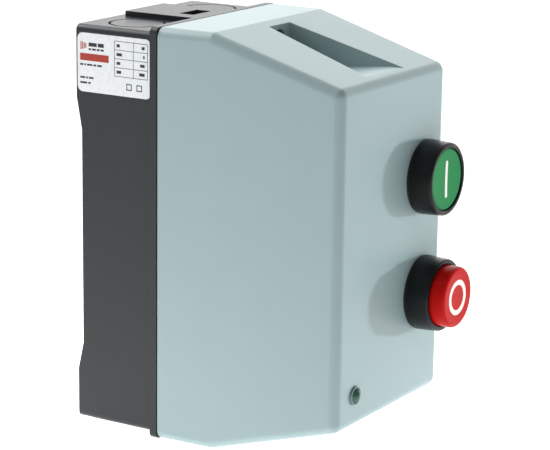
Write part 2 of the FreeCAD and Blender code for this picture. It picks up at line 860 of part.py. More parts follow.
def cover():
    """Grey cover: rounded hull with an even wall, two channels with screw bosses, and panel holes."""
    rim = -length("base_depth")

    def outer_edge(edge):
        return edge.BoundBox.YMin < rim - NEAR

    outside = rounded(hull("0", JOINT), "cover_edge", outer_edge)
    inside = hull("cover_wall", f"{JOINT} - overrun")
    channels = [channel(side, "0", f"{HALF_HEIGHT} + overrun") for side in ENDS]
    channel_walls = [channel(side, "cover_wall", f"{HALF_HEIGHT} + overrun") for side in ENDS]
    bosses = []
    for side in ENDS:
        height = f"{side} * {SCREW_HEIGHT}"
        bosses.append(pin("screw_boss_radius", "0", (JOINT, f"{CHANNEL_WALL} - cover_wall / 2"), height))
    hollow = cut(inside, *channel_walls, *bosses)
    holes = []
    for side in ENDS:
        height = f"{side} * {SCREW_HEIGHT}"
        through = (f"{JOINT} - overrun", f"{CHANNEL_WALL} + overrun")
        holes.append(pin("screw_radius + screw_clearance", "0", through, height))
        sunk = (f"{CHANNEL_WALL} - screw_head_sunk", f"{CHANNEL_WALL} + overrun")
        holes.append(pin("screw_recess_radius", "0", sunk, height))
    panel = (f"{PANEL} - overrun", f"{FRONT} + overrun")
    for _, height in BUTTONS:
        holes.append(pin("panel_hole_radius", "button_across", panel, height))
    holes.append(pin("lamp_hole_radius", LAMP_X, panel, "lamp_height"))
    node(cut(outside, hollow, *channels, *holes), "cover")


def cover_screws():
    """Long slotted screws through the channels' rear walls, and the threaded blocks they turn into."""
    for side, name in zip(ENDS, ("top", "bottom")):
        height = f"{side} * {SCREW_HEIGHT}"
        seat = f"({CHANNEL_WALL} - screw_head_sunk)"
        face = f"({seat} + screw_head_height)"
        head = pin("screw_head_radius", "0", (seat, face), height)
        shank = pin("screw_radius", "0", ("screw_end_depth", seat), height)
        slot_depths = (f"{face} - screw_slot_depth", f"{face} + overrun")
        slot = block("0", "screw_head_radius + overrun", slot_depths, height, "screw_slot_width / 2")
        node(cut(fuse(head, shank), slot), f"cover_screw_{name}")
    blocks = []
    for side in ENDS:
        height = f"{side} * {SCREW_HEIGHT}"
        depths = around("nut_centre_depth", "nut_thickness / 2")
        plate = block("0", "nut_width / 2", depths, height, "nut_height / 2")
        past = around("nut_centre_depth", "nut_thickness")
        blocks.append(cut(plate, pin("screw_radius + screw_running", "0", past, height)))
    group(blocks, "cover_nuts")


def rating_label():
    """Sticker on the left side of the rear box."""
    body = new_body()
    outline = sketch_on(body, "YZ_Plane", f"-{BODY_SIDE} - label_thickness")
    add_rectangle(outline, ("-label_front", "-label_rear"), ("label_low", "label_high"))
    pad(body, outline, "label_thickness")
    body_fillet(body, "label_corner", runs_along(Vector(1, 0, 0)))
    node(body, "rating_label")


def rail():
    """Top-hat rail across the floor, with its two screws."""
    body = new_body()
    outer = "rail_height / 2"
    web = "rail_web / 2"
    rear = f"-{FLOOR}"
    profile = [
        (f"-{RAIL_FRONT}", f"{CZ} + {outer}"),
        (f"-{RAIL_FRONT}", f"{CZ} + {web} - rail_sheet"),
        (f"{rear} - rail_sheet", f"{CZ} + {web} - rail_sheet"),
        (f"{rear} - rail_sheet", f"{CZ} - {web} + rail_sheet"),
        (f"-{RAIL_FRONT}", f"{CZ} - {web} + rail_sheet"),
        (f"-{RAIL_FRONT}", f"{CZ} - {outer}"),
        (f"-{RAIL_FRONT} + rail_sheet", f"{CZ} - {outer}"),
        (f"-{RAIL_FRONT} + rail_sheet", f"{CZ} - {web}"),
        (rear, f"{CZ} - {web}"),
        (rear, f"{CZ} + {web}"),
        (f"-{RAIL_FRONT} + rail_sheet", f"{CZ} + {web}"),
        (f"-{RAIL_FRONT} + rail_sheet", f"{CZ} + {outer}"),
    ]
    pad(body, add_outline(sketch_on(body, "YZ_Plane"), profile), "rail_length", symmetric=True)
    holes = sketch_on(body, "XZ_Plane", RAIL_FRONT)
    for hand in ENDS:
        add_circle(holes, "rail_screw_radius + screw_clearance", f"{hand} * rail_screw_across / 2", CZ)
    pocket(body, holes, "rail_depth + overrun")
    node(body, "din_rail")
    screws = []
    seat = f"({FLOOR} + rail_sheet)"
    for hand in ENDS:
        across = f"{hand} * rail_screw_across / 2"
        face = f"({seat} + rail_screw_head_height)"
        head = pin("rail_screw_head", across, (seat, face), CZ)
        shank = pin("rail_screw_radius", across, ("floor_screw_end", seat), CZ)
        slot_depths = (f"{face} - screw_slot_depth", f"{face} + overrun")
        slot = block(across, "rail_screw_head + overrun", slot_depths, CZ, "screw_slot_width / 2")
        screws.append(cut(fuse(head, shank), slot))
    group(screws, "rail_screws")


def earth_terminal():
    """Earth plate on the floor with its screw."""
    top = f"({FLOOR} + earth_sheet)"
    face = f"({top} + earth_head_height)"
    place = ("earth_across", "earth_height")
    plate = block(place[0], "earth_plate / 2", (FLOOR, top), place[1], "earth_plate / 2")
    through = (f"{FLOOR} - overrun", f"{top} + overrun")
    hole = pin("earth_screw_radius + screw_running", place[0], through, place[1])
    node(cut(plate, hole), "earth_plate")
    head = pin("earth_head_radius", place[0], (top, face), place[1])
    shank = pin("earth_screw_radius", place[0], ("floor_screw_end", top), place[1])
    slot_depths = (f"{face} - screw_slot_depth", f"{face} + overrun")
    slot = block(place[0], "earth_head_radius + overrun", slot_depths, place[1], "screw_slot_width / 2")
    node(cut(fuse(head, shank), slot), "earth_screw")


# ---------------------------------------------------------------------------------------------
# Buttons
# ---------------------------------------------------------------------------------------------


def bezel(name, height):
    """Tapered ring in front of the panel, with its barrel, shoulder and rear guide in one piece."""
    ring_rear = f"({FRONT} + seal_thickness)"
    ring_front = f"({FRONT} + bezel_height)"
    shoulder = f"({FRONT} + bezel_shoulder)"
    radii = ("bezel_rear_radius", "bezel_front_radius")
    taper = rounded(cone(radii, "button_across", (ring_rear, ring_front), height), "cap_edge", front_rim)
    barrel = pin("barrel_radius", "button_across", (GUIDE_REAR, ring_rear), height)
    well = pin("cap_radius + cap_clearance", "button_across", (shoulder, f"{ring_front} + overrun"), height)
    hollow = (f"{GUIDE_REAR} + guide_thickness", ring_front)
    inner = pin("barrel_radius - barrel_wall", "button_across", hollow, height)
    through = (f"{GUIDE_REAR} - overrun", ring_front)
    guide = pin("stem_radius + stem_clearance", "button_across", through, height)
    node(cut(fuse(taper, barrel), well, inner, guide), f"{name}_bezel")


def front_rim(edge):
    """The circle at the front end of a round piece: the edge whose middle lies furthest forwards."""
    circle = isinstance(edge.Curve, Part.Circle)
    return circle and edge.Curve.Center.y < -length("base_depth") - length("cover_depth") - length("cap_lift")


def cap(name, height, front):
    """Button cap with its stem, its rounded front rim and a pocket for the inlaid mark."""
    head = rounded(pin("cap_radius", "button_across", (CAP_REAR, front), height), "cap_edge", cap_rim(front))
    stem = pin("stem_radius", "button_across", (STEM_END, CAP_REAR), height)
    inlay = (f"({front}) - mark_depth", f"({front}) + mark_proud")
    pocket_tool, mark = [symbol(name, inlay, height) for _ in range(2)]
    node(cut(fuse(head, stem), pocket_tool), f"{name}_cap")
    node(mark, f"{name}_mark")


def symbol(name, inlay, height):
    """Bar of the start cap or ring of the stop cap, between two depths."""
    if name == "start":
        return block("button_across", "bar_mark_width / 2", inlay, height, "bar_mark_length / 2")
    return tube("ring_mark_outer", "ring_mark_inner", "button_across", inlay, height)


def cap_rim(front):
    """Rule for the front circle of a cap whose front lies at the given depth."""
    depths = {
        START_FRONT: -length("start_cap_sunk"),
        STOP_FRONT: length("stop_cap_proud"),
    }
    depth = length("base_depth") + length("cover_depth") + length("bezel_height") + depths[front]
    return lambda edge: isinstance(edge.Curve, Part.Circle) and abs(edge.Curve.Center.y + depth) < NEAR


def start_rod():
    """Rod behind the start cap: a plate reaches sideways to a nose over the contactor's carrier."""
    plate_rear = f"({STEM_END} - rod_plate)"
    shaft = pin("rod_radius", "button_across", (plate_rear, STEM_END), "start_height")
    arm = box((CX, "button_across"), (plate_rear, STEM_END), around("start_height", "rod_nose_radius"))
    nose_end = f"({CONTACTOR_FRONT} - carrier_tab_sunk + rod_gap)"
    nose = pin("rod_nose_radius", CX, (nose_end, STEM_END), "start_height")
    node(fuse(shaft, arm, nose), "start_rod")


def stop_rod():
    """Straight rod from the stop cap to the relay's stop and reset button."""
    node(pin("rod_radius", "button_across", (f"{RESET_FACE} + rod_gap", STEM_END), "stop_height"), "stop_rod")


def panel_fixings():
    """Seals under the bezels and the ring nuts that clamp them from inside."""
    seals = []
    nuts = []
    for _, height in BUTTONS:
        seal = (FRONT, f"{FRONT} + seal_thickness")
        seals.append(tube("bezel_rear_radius - seal_inset", "barrel_radius", "button_across", seal, height))
        depths = (f"{PANEL} - lock_nut_thickness", PANEL)
        ring = tube("lock_nut_radius", "barrel_radius", "button_across", depths, height)
        past = (f"{depths[0]} - overrun", f"{PANEL} + overrun")
        # each notch tool starts at the notch's floor and runs out past the rim
        half_tool = "lock_notch_depth"
        notches = []
        for hand in ENDS:
            sideways = f"button_across + {hand} * lock_nut_radius"
            notches.append(block(sideways, half_tool, past, height, "lock_notch_width / 2"))
            up = f"{height} + {hand} * lock_nut_radius"
            notches.append(block("button_across", "lock_notch_width / 2", past, up, half_tool))
        nuts.append(cut(ring, *notches))
    group(seals, "panel_seals")
    group(nuts, "lock_nuts")


def coil(radius, wire, x, depth, z):
    """Sleeve of a coil spring's mean radius and wire radius, standing for its turns."""
    return tube(f"{radius} + {wire}", f"{radius} - {wire}", x, depth, z)


def button_springs():
    """Return springs round the stems, from the guide to the cap."""
    depths = (f"{GUIDE_REAR} + guide_thickness", CAP_REAR)
    sleeve = (BUTTON_SPRING_RADIUS, "button_spring_wire", "button_across", depths)
    group([coil(*sleeve, height) for _, height in BUTTONS], "button_springs")


# ---------------------------------------------------------------------------------------------
# Indicator lamp
# ---------------------------------------------------------------------------------------------


def lamp():
    """Holder through the panel, lens, nut and light source."""
    ring_front = f"({FRONT} + lamp_ring_height)"
    barrel_rear = f"({FRONT} - lamp_barrel_length)"
    bore = "(lamp_barrel_radius - lamp_barrel_wall)"
    well = "(lamp_ring_radius - lamp_ring_lip)"
    lens_rear = f"({FRONT} - lamp_lens_depth)"
    seat = f"({FRONT} + lamp_ring_height / 3)"
    ring = pin("lamp_ring_radius", LAMP_X, (FRONT, ring_front), "lamp_height")
    barrel = pin("lamp_barrel_radius", LAMP_X, (barrel_rear, FRONT), "lamp_height")
    through = pin(bore, LAMP_X, (f"{barrel_rear} - overrun", f"{ring_front} + overrun"), "lamp_height")
    recess = pin(well, LAMP_X, (seat, f"{ring_front} + overrun"), "lamp_height")
    node(cut(fuse(ring, barrel), through, recess), "lamp_holder")
    stem = pin(bore, LAMP_X, (lens_rear, seat), "lamp_height")
    rim = pin(well, LAMP_X, (seat, ring_front), "lamp_height")
    node(fuse(stem, rim, lamp_dome()), "lamp_lens")
    depths = (f"{PANEL} - lamp_nut_thickness", PANEL)
    nut = document.addObject("Part::Prism", "Hexagon")
    nut.Polygon = 6
    bind(nut, Circumradius="lamp_nut_radius", Height="lamp_nut_thickness")
    turned(nut, LAMP_X, depths[0], "lamp_height", "forwards")
    hole = pin("lamp_barrel_radius", LAMP_X, (f"{depths[0]} - overrun", f"{PANEL} + overrun"), "lamp_height")
    node(cut(nut, hole), "lamp_nut")
    light_depths = (barrel_rear, f"{lens_rear} - lamp_led_gap")
    node(pin("lamp_led_radius", LAMP_X, light_depths, "lamp_height"), "lamp_light")


def lamp_dome():
    """Cap of a sphere on the lens's rim."""
    height = length("lamp_dome_height") - length("lamp_ring_height")
    rim = length("lamp_ring_radius") - length("lamp_ring_lip")
    radius = (rim**2 + height**2) / (2 * height)
    centre = at(
        -length("lamp_across"),
        length("base_depth") + length("cover_depth") + length("lamp_ring_height") + height - radius,
        length("lamp_height"),
    )
    ball = Part.makeSphere(radius, centre)
    front = -length("base_depth") - length("cover_depth") - length("lamp_ring_height")
    corner = Vector(centre.x - radius, front - 2 * radius, centre.z - radius)
    return shaped(ball.common(Part.makeBox(2 * radius, 2 * radius, 2 * radius, corner)))


def lamp_supply():
    """Two-pole block on the floor with brass tabs, and the lamp's leads with push-on sleeves."""
    centre_z = "lamp_height"
    block_front = f"({FLOOR} + tb_depth)"
    node(block(LAMP_X, "tb_width / 2", (FLOOR, block_front), centre_z, "tb_height / 2"), "terminal_block")
    tabs = []
    sleeves = []
    leads = []
    tip = f"({block_front} + tab_length)"
    sleeve_rear = f"({block_front} + sleeve_gap)"
    sleeve_front = f"({sleeve_rear} + sleeve_length)"
    for hand in ENDS:
        across = f"({LAMP_X} + {hand} * lamp_lead_across)"
        tabs.append(block(across, "tab_sheet / 2", (block_front, tip), centre_z, "tab_width / 2"))
        half_sleeve = ("tab_sheet / 2 + sleeve_wall", "tab_width / 2 + sleeve_wall")
        outer = block(across, half_sleeve[0], (sleeve_rear, sleeve_front), centre_z, half_sleeve[1])
        hollow = block(across, "tab_sheet / 2", (f"{sleeve_rear} - overrun", tip), centre_z, "tab_width / 2")
        sleeves.append(cut(outer, hollow))
        leads.append(lamp_lead(hand))
    group(tabs, "terminal_tabs")
    group(sleeves, "lamp_sleeves")
    group(leads, "lamp_leads")


def lamp_lead(hand):
    """Lead from the light source to its sleeve, splaying out a little on the way."""
    front = length("base_depth") + length("cover_depth") - length("lamp_barrel_length")
    floor = length("relief_depth") + length("base_floor")
    rear = floor + length("tb_depth") + length("sleeve_gap") + length("sleeve_length")
    centre = -length("lamp_across")
    inner = centre + hand * length("lamp_lead_start")
    outer = centre + hand * length("lamp_lead_across")
    height = length("lamp_height")
    span = front - rear
    points = [
        at(inner, front, height),
        at(inner, front - span / 3, height),
        at(outer, rear + span / 3, height),
        at(outer, rear, height),
    ]
    return shaped(wire_solid(points, length("lamp_lead_radius")))


# ---------------------------------------------------------------------------------------------
# Contactor
# ---------------------------------------------------------------------------------------------


def pole(index):
    return f"({CX} + {index} * pole_pitch)"


def terminal_screw(across, height, level, head="terminal_head_radius", radius="terminal_screw_radius"):
    """Slotted screw whose head sits at a depth."""
    face = f"({level} + terminal_head_height)"
    body = fuse(
        pin(head, across, (level, face), height),
        pin(radius, across, (f"{level} - terminal_screw_length", level), height),
    )
    slot_depths = (f"{face} - screw_slot_depth", f"{face} + overrun")
    return cut(body, block(across, f"{head} + overrun", slot_depths, height, "terminal_slot_width / 2"))


def screw_hole(across, height, level, radius="terminal_screw_radius"):
    depths = (f"{level} - terminal_screw_length - terminal_screw_room", f"{level} + overrun")
    return pin(f"{radius} + screw_running", across, depths, height)


def washer(across, height, level):
    face = f"({level} + terminal_washer_sheet)"
    plate = block(across, "terminal_washer / 2", (level, face), height, "terminal_washer / 2")
    return cut(plate, screw_hole(across, height, face))


def contactor_lower():
    """Rear housing: magnet chamber, rail hook and the coil's terminal ends."""
    outer = block(CX, "contactor_width / 2", (RAIL_FRONT, SPLIT), CZ, "contactor_lower_height / 2")
    hook_low = f"({CZ} + rail_height / 2 + hook_clearance)"
    hook_z = (hook_low, f"{hook_low} + hook_height")
    lip_rear = f"({RAIL_FRONT} - rail_sheet - hook_clearance)"
    hook_rear = f"({lip_rear} - hook_reach)"
    sides = around(CX, "hook_half_width")
    post = box(sides, (hook_rear, RAIL_FRONT), hook_z)
    claw = box(sides, (hook_rear, lip_rear), (f"{hook_low} - hook_reach", hook_z[1]))
    chamber = block(
        CX,
        "contactor_width / 2 - contactor_wall",
        (f"{RAIL_FRONT} + contactor_wall", f"{SPLIT} + overrun"),
        CZ,
        "contactor_cavity_height / 2",
    )
    holes = [coil_screw_bore(hand) for hand in ENDS]
    seat_depths = (f"{RAIL_FRONT} + contactor_wall / 2", CORE_REAR)
    seat = block(CX, "core_width / 2 - core_seat_margin", seat_depths, CZ, "core_thickness / 2")
    node(fuse(cut(fuse(outer, post, claw), chamber, *holes), seat), "contactor_lower")


def coil_screw_bore(hand):
    end = f"({CZ} + contactor_lower_height / 2)"
    depth = "(coil_terminal_rear + coil_terminal_front) / 2"
    across = f"{CX} + {hand} * coil_terminal_across"
    return upright("coil_screw_radius", across, depth, (f"{end} - coil_bore_length", f"{end} + overrun"))


def coil_terminals():
    """Screwed brass plates on the upper end of the rear housing."""
    plates = []
    screws = []
    end = f"({CZ} + contactor_lower_height / 2)"
    top = f"({end} + coil_terminal_sheet)"
    depth = "(coil_terminal_rear + coil_terminal_front) / 2"
    for hand in ENDS:
        across = f"({CX} + {hand} * coil_terminal_across)"
        sides = around(across, "coil_terminal_width / 2")
        plate = box(sides, ("coil_terminal_rear", "coil_terminal_front"), (end, top))
        through = (f"{end} - overrun", f"{top} + overrun")
        plates.append(cut(plate, upright("coil_screw_radius", across, depth, through)))
        head = upright("coil_head_radius", across, depth, (top, f"{top} + coil_head_height"))
        shank = upright("coil_screw_radius", across, depth, (f"{end} - coil_screw_length", top))
        screws.append(fuse(head, shank))
    group(plates, "coil_terminals")
    group(screws, "coil_screws")


def contactor_upper():
    """Front housing: contact chamber between two rows of open terminal pockets."""
    outer = block(CX, "contactor_width / 2", (SPLIT, FRONT_SPLIT), CZ, "contactor_height / 2")
    through = (f"{SPLIT} - overrun", f"{FRONT_SPLIT} + overrun")
    tools = [block(CX, "chamber_width / 2", through, CZ, "chamber_height / 2")]
    for index in POLES:
        for side in ENDS:
            ends = sorted_limits(CZ, side, "pocket_inner", "contactor_height / 2 + overrun")
            tools.append(box(around(pole(index), "pocket_width / 2"), (STRIP, through[1]), ends))
            slot = sorted_limits(CZ, side, "chamber_height / 2 - overrun", "pocket_inner + overrun")
            sides = around(pole(index), "strip_width / 2 + slot_clearance")
            tools.append(box(sides, (STRIP, f"{STRIP} + strip_sheet + slot_clearance"), slot))
            tools.append(screw_hole(pole(index), terminal_z(side), WASHER_TOP))
    node(cut(outer, *tools), "contactor_upper")


def sorted_limits(centre, side, near, far):
    """Low and high Z of a stretch on one side of a centre."""
    low, high = (near, far) if side > 0 else (far, near)
    return f"({centre}) + {side} * ({low})", f"({centre}) + {side} * ({high})"


def terminal_z(side):
    return f"({CZ} + {side} * terminal_height)"


def contactor_terminals():
    """Fixed contact strips with silver tips; returns their clamp washers and terminal screws."""
    strips = []
    screws = []
    washers = []
    for side in ENDS:
        for index in POLES:
            along = sorted_limits(CZ, side, "strip_inner", "strip_outer")
            face = f"({STRIP} + strip_sheet)"
            strip = box(around(pole(index), "strip_width / 2"), (STRIP, face), along)
            tip_z = f"({CZ} + {side} * contact_tip_centre)"
            half_tip = "strip_width / 2 - contact_tip_margin"
            tip = block(pole(index), half_tip, (face, FIXED_TIP), tip_z, "contact_tip_length / 2")
            strips.append(cut(fuse(strip, tip), screw_hole(pole(index), terminal_z(side), WASHER_TOP)))
            washers.append(washer(pole(index), terminal_z(side), face))
            screws.append(terminal_screw(pole(index), terminal_z(side), WASHER_TOP))
    group(strips, "contactor_contacts")
    return washers, screws


def contactor_front():
    """Front cover with the window over the carrier's tab."""
    outer = block(CX, "contactor_width / 2", (FRONT_SPLIT, CONTACTOR_FRONT), CZ, "pocket_inner")
    inner = block(
        CX,
        "contactor_width / 2 - contactor_wall",
        (f"{FRONT_SPLIT} - overrun", f"{CONTACTOR_FRONT} - contactor_wall"),
        CZ,
        "pocket_inner - contactor_wall",
    )
    window = block(
        CX,
        "carrier_tab_half_width + window_clearance",
        (f"{CONTACTOR_FRONT} - contactor_wall - overrun", f"{CONTACTOR_FRONT} + overrun"),
        CZ,
        "carrier_tab_half_height + window_clearance",
    )
    node(cut(outer, inner, window), "contactor_front")


def magnet(label, depths, leg_depths):
    """E-shaped stack: a full block with two windows between its legs."""
    stack = block(CX, "core_width / 2", depths, CZ, "core_thickness / 2")
    windows = []
    for hand in ENDS:
        near = f"{CX} + {hand} * core_window_inner"
        far = f"{CX} + {hand} * core_window_outer"
        sides = (near, far) if hand > 0 else (far, near)
        windows.append(box(sides, leg_depths, around(CZ, "core_thickness")))
    node(cut(stack, *windows), label)


def magnet_coil():
    """Bobbin round the middle leg and the winding on it."""
    bore_x = "(core_window_inner + bobbin_clearance)"
    bore_z = "(core_thickness / 2 + bobbin_clearance)"
    wall_x = f"({bore_x} + bobbin_wall)"
    wall_z = f"({bore_z} + bobbin_wall)"
    flange_x = "(core_window_outer - bobbin_clearance)"
    flange_z = "(bobbin_flange_height / 2)"
    rear_flange = (BOBBIN_REAR, f"{BOBBIN_REAR} + bobbin_flange")
    front_flange = (f"{BOBBIN_FRONT} - bobbin_flange", BOBBIN_FRONT)
    tube_wall = block(CX, wall_x, (BOBBIN_REAR, BOBBIN_FRONT), CZ, wall_z)
    flanges = [block(CX, flange_x, depths, CZ, flange_z) for depths in (rear_flange, front_flange)]
    past = (f"{BOBBIN_REAR} - overrun", f"{BOBBIN_FRONT} + overrun")
    node(cut(fuse(tube_wall, *flanges), block(CX, bore_x, past, CZ, bore_z)), "coil_bobbin")
    between = (rear_flange[1], front_flange[0])
    winding = block(CX, "winding_width / 2", between, CZ, "winding_height / 2")
    node(cut(winding, block(CX, wall_x, past, CZ, wall_z)), "coil_winding")


def carrier():
    """Moulding that joins the armature to the contact bridges and reaches forwards to the window."""
    plate_front = f"({ARMATURE_FRONT} + carrier_plate)"
    plate_depths = (ARMATURE_FRONT, plate_front)
    plate = block(CX, "carrier_plate_width / 2", plate_depths, CZ, "carrier_plate_height / 2")
    stem = block(CX, "carrier_plate_width / 2", (plate_front, BLOCK_FRONT), CZ, "carrier_block_half")
    tab_depths = (BLOCK_FRONT, f"{CONTACTOR_FRONT} - carrier_tab_sunk")
    tab = block(CX, "carrier_tab_half_width", tab_depths, CZ, "carrier_tab_half_height")
    cheeks = []
    for side in ENDS:
        limits = sorted_limits(CZ, side, "core_thickness / 2", "core_thickness / 2 + cheek_thickness")
        cheek_depths = (f"{ARMATURE_FRONT} - core_yoke + cheek_gap", ARMATURE_FRONT)
        cheeks.append(box(around(CX, "cheek_half_width"), cheek_depths, limits))
    windows = []
    bridges = []
    for index in POLES:
        depths = (BRIDGE, f"{BRIDGE} + bridge_sheet + bridge_spring_room")
        windows.append(block(pole(index), "pole_window / 2", depths, CZ, "carrier_block_half + overrun"))
        bar_depths = (BRIDGE, f"{BRIDGE} + bridge_sheet")
        bar = block(pole(index), "bridge_width / 2", bar_depths, CZ, "bridge_length / 2")
        half_tip = "bridge_width / 2 - contact_tip_margin"
        tips = []
        for side in ENDS:
            tip_z = f"({CZ} + {side} * contact_tip_centre)"
            tips.append(block(pole(index), half_tip, (BRIDGE_TIP, BRIDGE), tip_z, "contact_tip_length / 2"))
        bridges.append(fuse(bar, *tips))
    node(cut(fuse(plate, stem, tab, *cheeks), *windows), "contact_carrier")
    group(bridges, "contact_bridges")


def contactor_springs():
    """Contact springs in the carrier's windows, and the two return springs under its plate."""
    seat = f"({BRIDGE} + bridge_sheet)"
    depths = (seat, f"{seat} + bridge_spring_room")
    small = [coil("contact_spring_radius", "contact_spring_wire", pole(index), depths, CZ) for index in POLES]
    group(small, "contact_springs")
    heights = [f"({CZ} + {side} * return_spring_height)" for side in ENDS]
    sleeve = ("return_spring_radius", "return_spring_wire", CX, (BOBBIN_FRONT, ARMATURE_FRONT))
    group([coil(*sleeve, height) for height in heights], "return_springs")


def rail_clip():
    """Sliding catch that holds the contactor on the rail's lower edge."""
    edge = f"({CZ} - rail_height / 2)"
    lip_rear = f"({RAIL_FRONT} - rail_sheet - hook_clearance)"
    front = f"({RAIL_FRONT} - hook_clearance)"
    catch = block(CX, "clip_width / 2", (f"{lip_rear} - hook_reach", lip_rear), edge, "hook_reach")
    tail_z = (f"{CZ} - contactor_lower_height / 2 - clip_tail", f"{edge} - hook_clearance")
    tail = box(around(CX, "clip_width / 2"), (f"{front} - clip_sheet", front), tail_z)
    through = (f"{front} - clip_sheet - overrun", f"{front} + overrun")
    eye = block(CX, "clip_eye_half_width", through, f"{tail_z[0]} + clip_eye_up", "clip_eye_half_height")
    node(cut(fuse(catch, tail), eye), "rail_clip")


# ---------------------------------------------------------------------------------------------
# Thermal overload relay
# ---------------------------------------------------------------------------------------------


def relay_housing():
    """Moulded block with three bimetal chambers, a mechanism chamber and open terminal pockets."""
    outer = box(around(CX, "relay_width / 2"), ("relay_rear", "relay_front"), (RELAY_LOW, RELAY_TOP))
    past = "relay_front + overrun"
    tools = [
        block(
            CX,
            "relay_width / 2 - contactor_wall",
            ("mechanism_rear", past),
            f"({MECHANISM_TOP} + {MECHANISM_LOW}) / 2",
            "mechanism_height / 2",
        )
    ]
    for index in RELAY_POLES:
        middle = pole(index)
        chamber = around(middle, "bimetal_chamber / 2")
        tools.append(box(chamber, ("relay_rear + relay_wall", past), (BIMETAL_LOW, BIMETAL_TOP)))
        tools.append(box(chamber, (RELAY_STRIP, past), (f"{RELAY_LOW} - overrun", POCKET_TOP)))
        neck = around("bimetal_rear + bimetal_width / 2", "bimetal_width / 2 + bimetal_neck_play")
        neck_z = (f"{BIMETAL_TOP} - overrun", f"{MECHANISM_LOW} + overrun")
        tools.append(box(around(middle, "bimetal_sheet"), neck, neck_z))
        slot = around(middle, "strip_width / 2 + slot_clearance")
        slot_z = (f"{POCKET_TOP} - overrun", f"{BIMETAL_LOW} + overrun")
        tools.append(box(slot, (RELAY_STRIP, f"{RELAY_STRIP} + strip_sheet"), slot_z))
        entry = around(middle, "pin_width / 2 + slot_clearance")
        depths = (f"{PIN_REAR} - slot_clearance", f"{PIN_REAR} + pin_sheet + slot_clearance")
        tools.append(box(entry, depths, (f"{MECHANISM_TOP} - overrun", f"{RELAY_TOP} + overrun")))
        tools.append(screw_hole(middle, RELAY_TERMINAL_Z, RELAY_WASHER_TOP))
    for offset in CONTROLS:
        middle = f"({CX} + {offset})"
        pocket_z = (f"{RELAY_LOW} - overrun", POCKET_TOP)
        tools.append(box(around(middle, "control_pocket / 2"), (RELAY_STRIP, past), pocket_z))
        tools.append(screw_hole(middle, RELAY_TERMINAL_Z, RELAY_WASHER_TOP, "control_screw_radius"))
    shelf = box(
        ("button_across - reset_flange - overrun", f"{CX} + relay_width / 2 - contactor_wall / 2"),
        ("reset_shelf_rear", "reset_shelf_front"),
        (f"{MECHANISM_LOW} - overrun", MECHANISM_TOP),
    )
    pin_depths = ("mechanism_rear - overrun", "reset_shelf_rear + overrun")
    lever = pin("lever_pin_radius", f"{CX} + lever_across", pin_depths, LEVER_Z)
    node(fuse(cut(outer, *tools), shelf, lever), "relay_housing")


def relay_front():
    """Front cap of the relay with holes for the dial and the stop and reset button."""
    low = f"({RELAY_LOW} + relay_terminal_height)"
    outer = box(around(CX, "relay_width / 2"), ("relay_front", RELAY_CAP), (low, RELAY_TOP))
    inner = box(
        around(CX, "relay_width / 2 - relay_cap_wall"),
        ("relay_front - overrun", f"{RELAY_CAP} - relay_cap_wall"),
        (f"{low} + relay_cap_wall", f"{RELAY_TOP} - relay_cap_wall"),
    )
    through = (f"{RELAY_CAP} - relay_cap_wall - overrun", f"{RELAY_CAP} + overrun")
    dial = pin("dial_radius + dial_running", DIAL_X, through, DIAL_Z)
    reset = pin("reset_radius + reset_running", "button_across", through, "stop_height")
    node(cut(outer, inner, dial, reset), "relay_front")


def relay_conductors():
    """Plug pins to the contactor, bimetals, terminal strips; returns the output washers and screws."""
    pins = []
    bimetals = []
    outputs = []
    washers = []
    screws = []
    for index in RELAY_POLES:
        middle = pole(index)
        reach = f"({CZ} - terminal_height - terminal_washer / 2 - hook_clearance)"
        depths = (PIN_REAR, f"{PIN_REAR} + pin_sheet")
        pins.append(box(around(middle, "pin_width / 2"), depths, (MECHANISM_TOP, reach)))
        bimetal_depths = ("bimetal_rear", "bimetal_rear + bimetal_width")
        bimetal_z = (BIMETAL_LOW, f"{SLIDER_Z[1]} + slider_gap")
        bimetals.append(box(around(middle, "bimetal_sheet / 2"), bimetal_depths, bimetal_z))
        face = f"({RELAY_STRIP} + strip_sheet)"
        strip_z = (f"{RELAY_LOW} + relay_strip_inset", f"{BIMETAL_LOW} + relay_strip_lap")
        bar = box(around(middle, "strip_width / 2"), (RELAY_STRIP, face), strip_z)
        outputs.append(cut(bar, screw_hole(middle, RELAY_TERMINAL_Z, RELAY_WASHER_TOP)))
        washers.append(washer(middle, RELAY_TERMINAL_Z, face))
        screws.append(terminal_screw(middle, RELAY_TERMINAL_Z, RELAY_WASHER_TOP))
    group(pins, "relay_pins")
    group(bimetals, "relay_bimetals")
    small = []
    for offset in CONTROLS:
        middle = f"({CX} + {offset})"
        radii = ("control_head_radius", "control_screw_radius")
        bar_z = (f"{RELAY_LOW} + relay_strip_inset", f"{POCKET_TOP} - control_end_gap")
        bar = box(around(middle, "control_width / 2"), (RELAY_STRIP, RELAY_WASHER_TOP), bar_z)
        outputs.append(cut(bar, screw_hole(middle, RELAY_TERMINAL_Z, RELAY_WASHER_TOP, radii[1])))
        small.append(terminal_screw(middle, RELAY_TERMINAL_Z, RELAY_WASHER_TOP, *radii))
    group(outputs, "relay_terminals")
    group(small, "relay_control_screws")
    return washers, screws


def heaters():
    """Sleeves of heater winding round the bimetals."""
    depth = "(bimetal_rear + bimetal_width / 2)"
    sleeves = []
    for index in RELAY_POLES:
        low = f"({BIMETAL_LOW} + heater_end_gap)"
        high = f"({BIMETAL_TOP} - heater_end_gap)"
        outer = upright("heater_radius + heater_wire", pole(index), depth, (low, high))
        past = (f"{low} - overrun", f"{high} + overrun")
        inner = upright("heater_radius - heater_wire", pole(index), depth, past)
        sleeves.append(cut(outer, inner))
    group(sleeves, "relay_heaters")


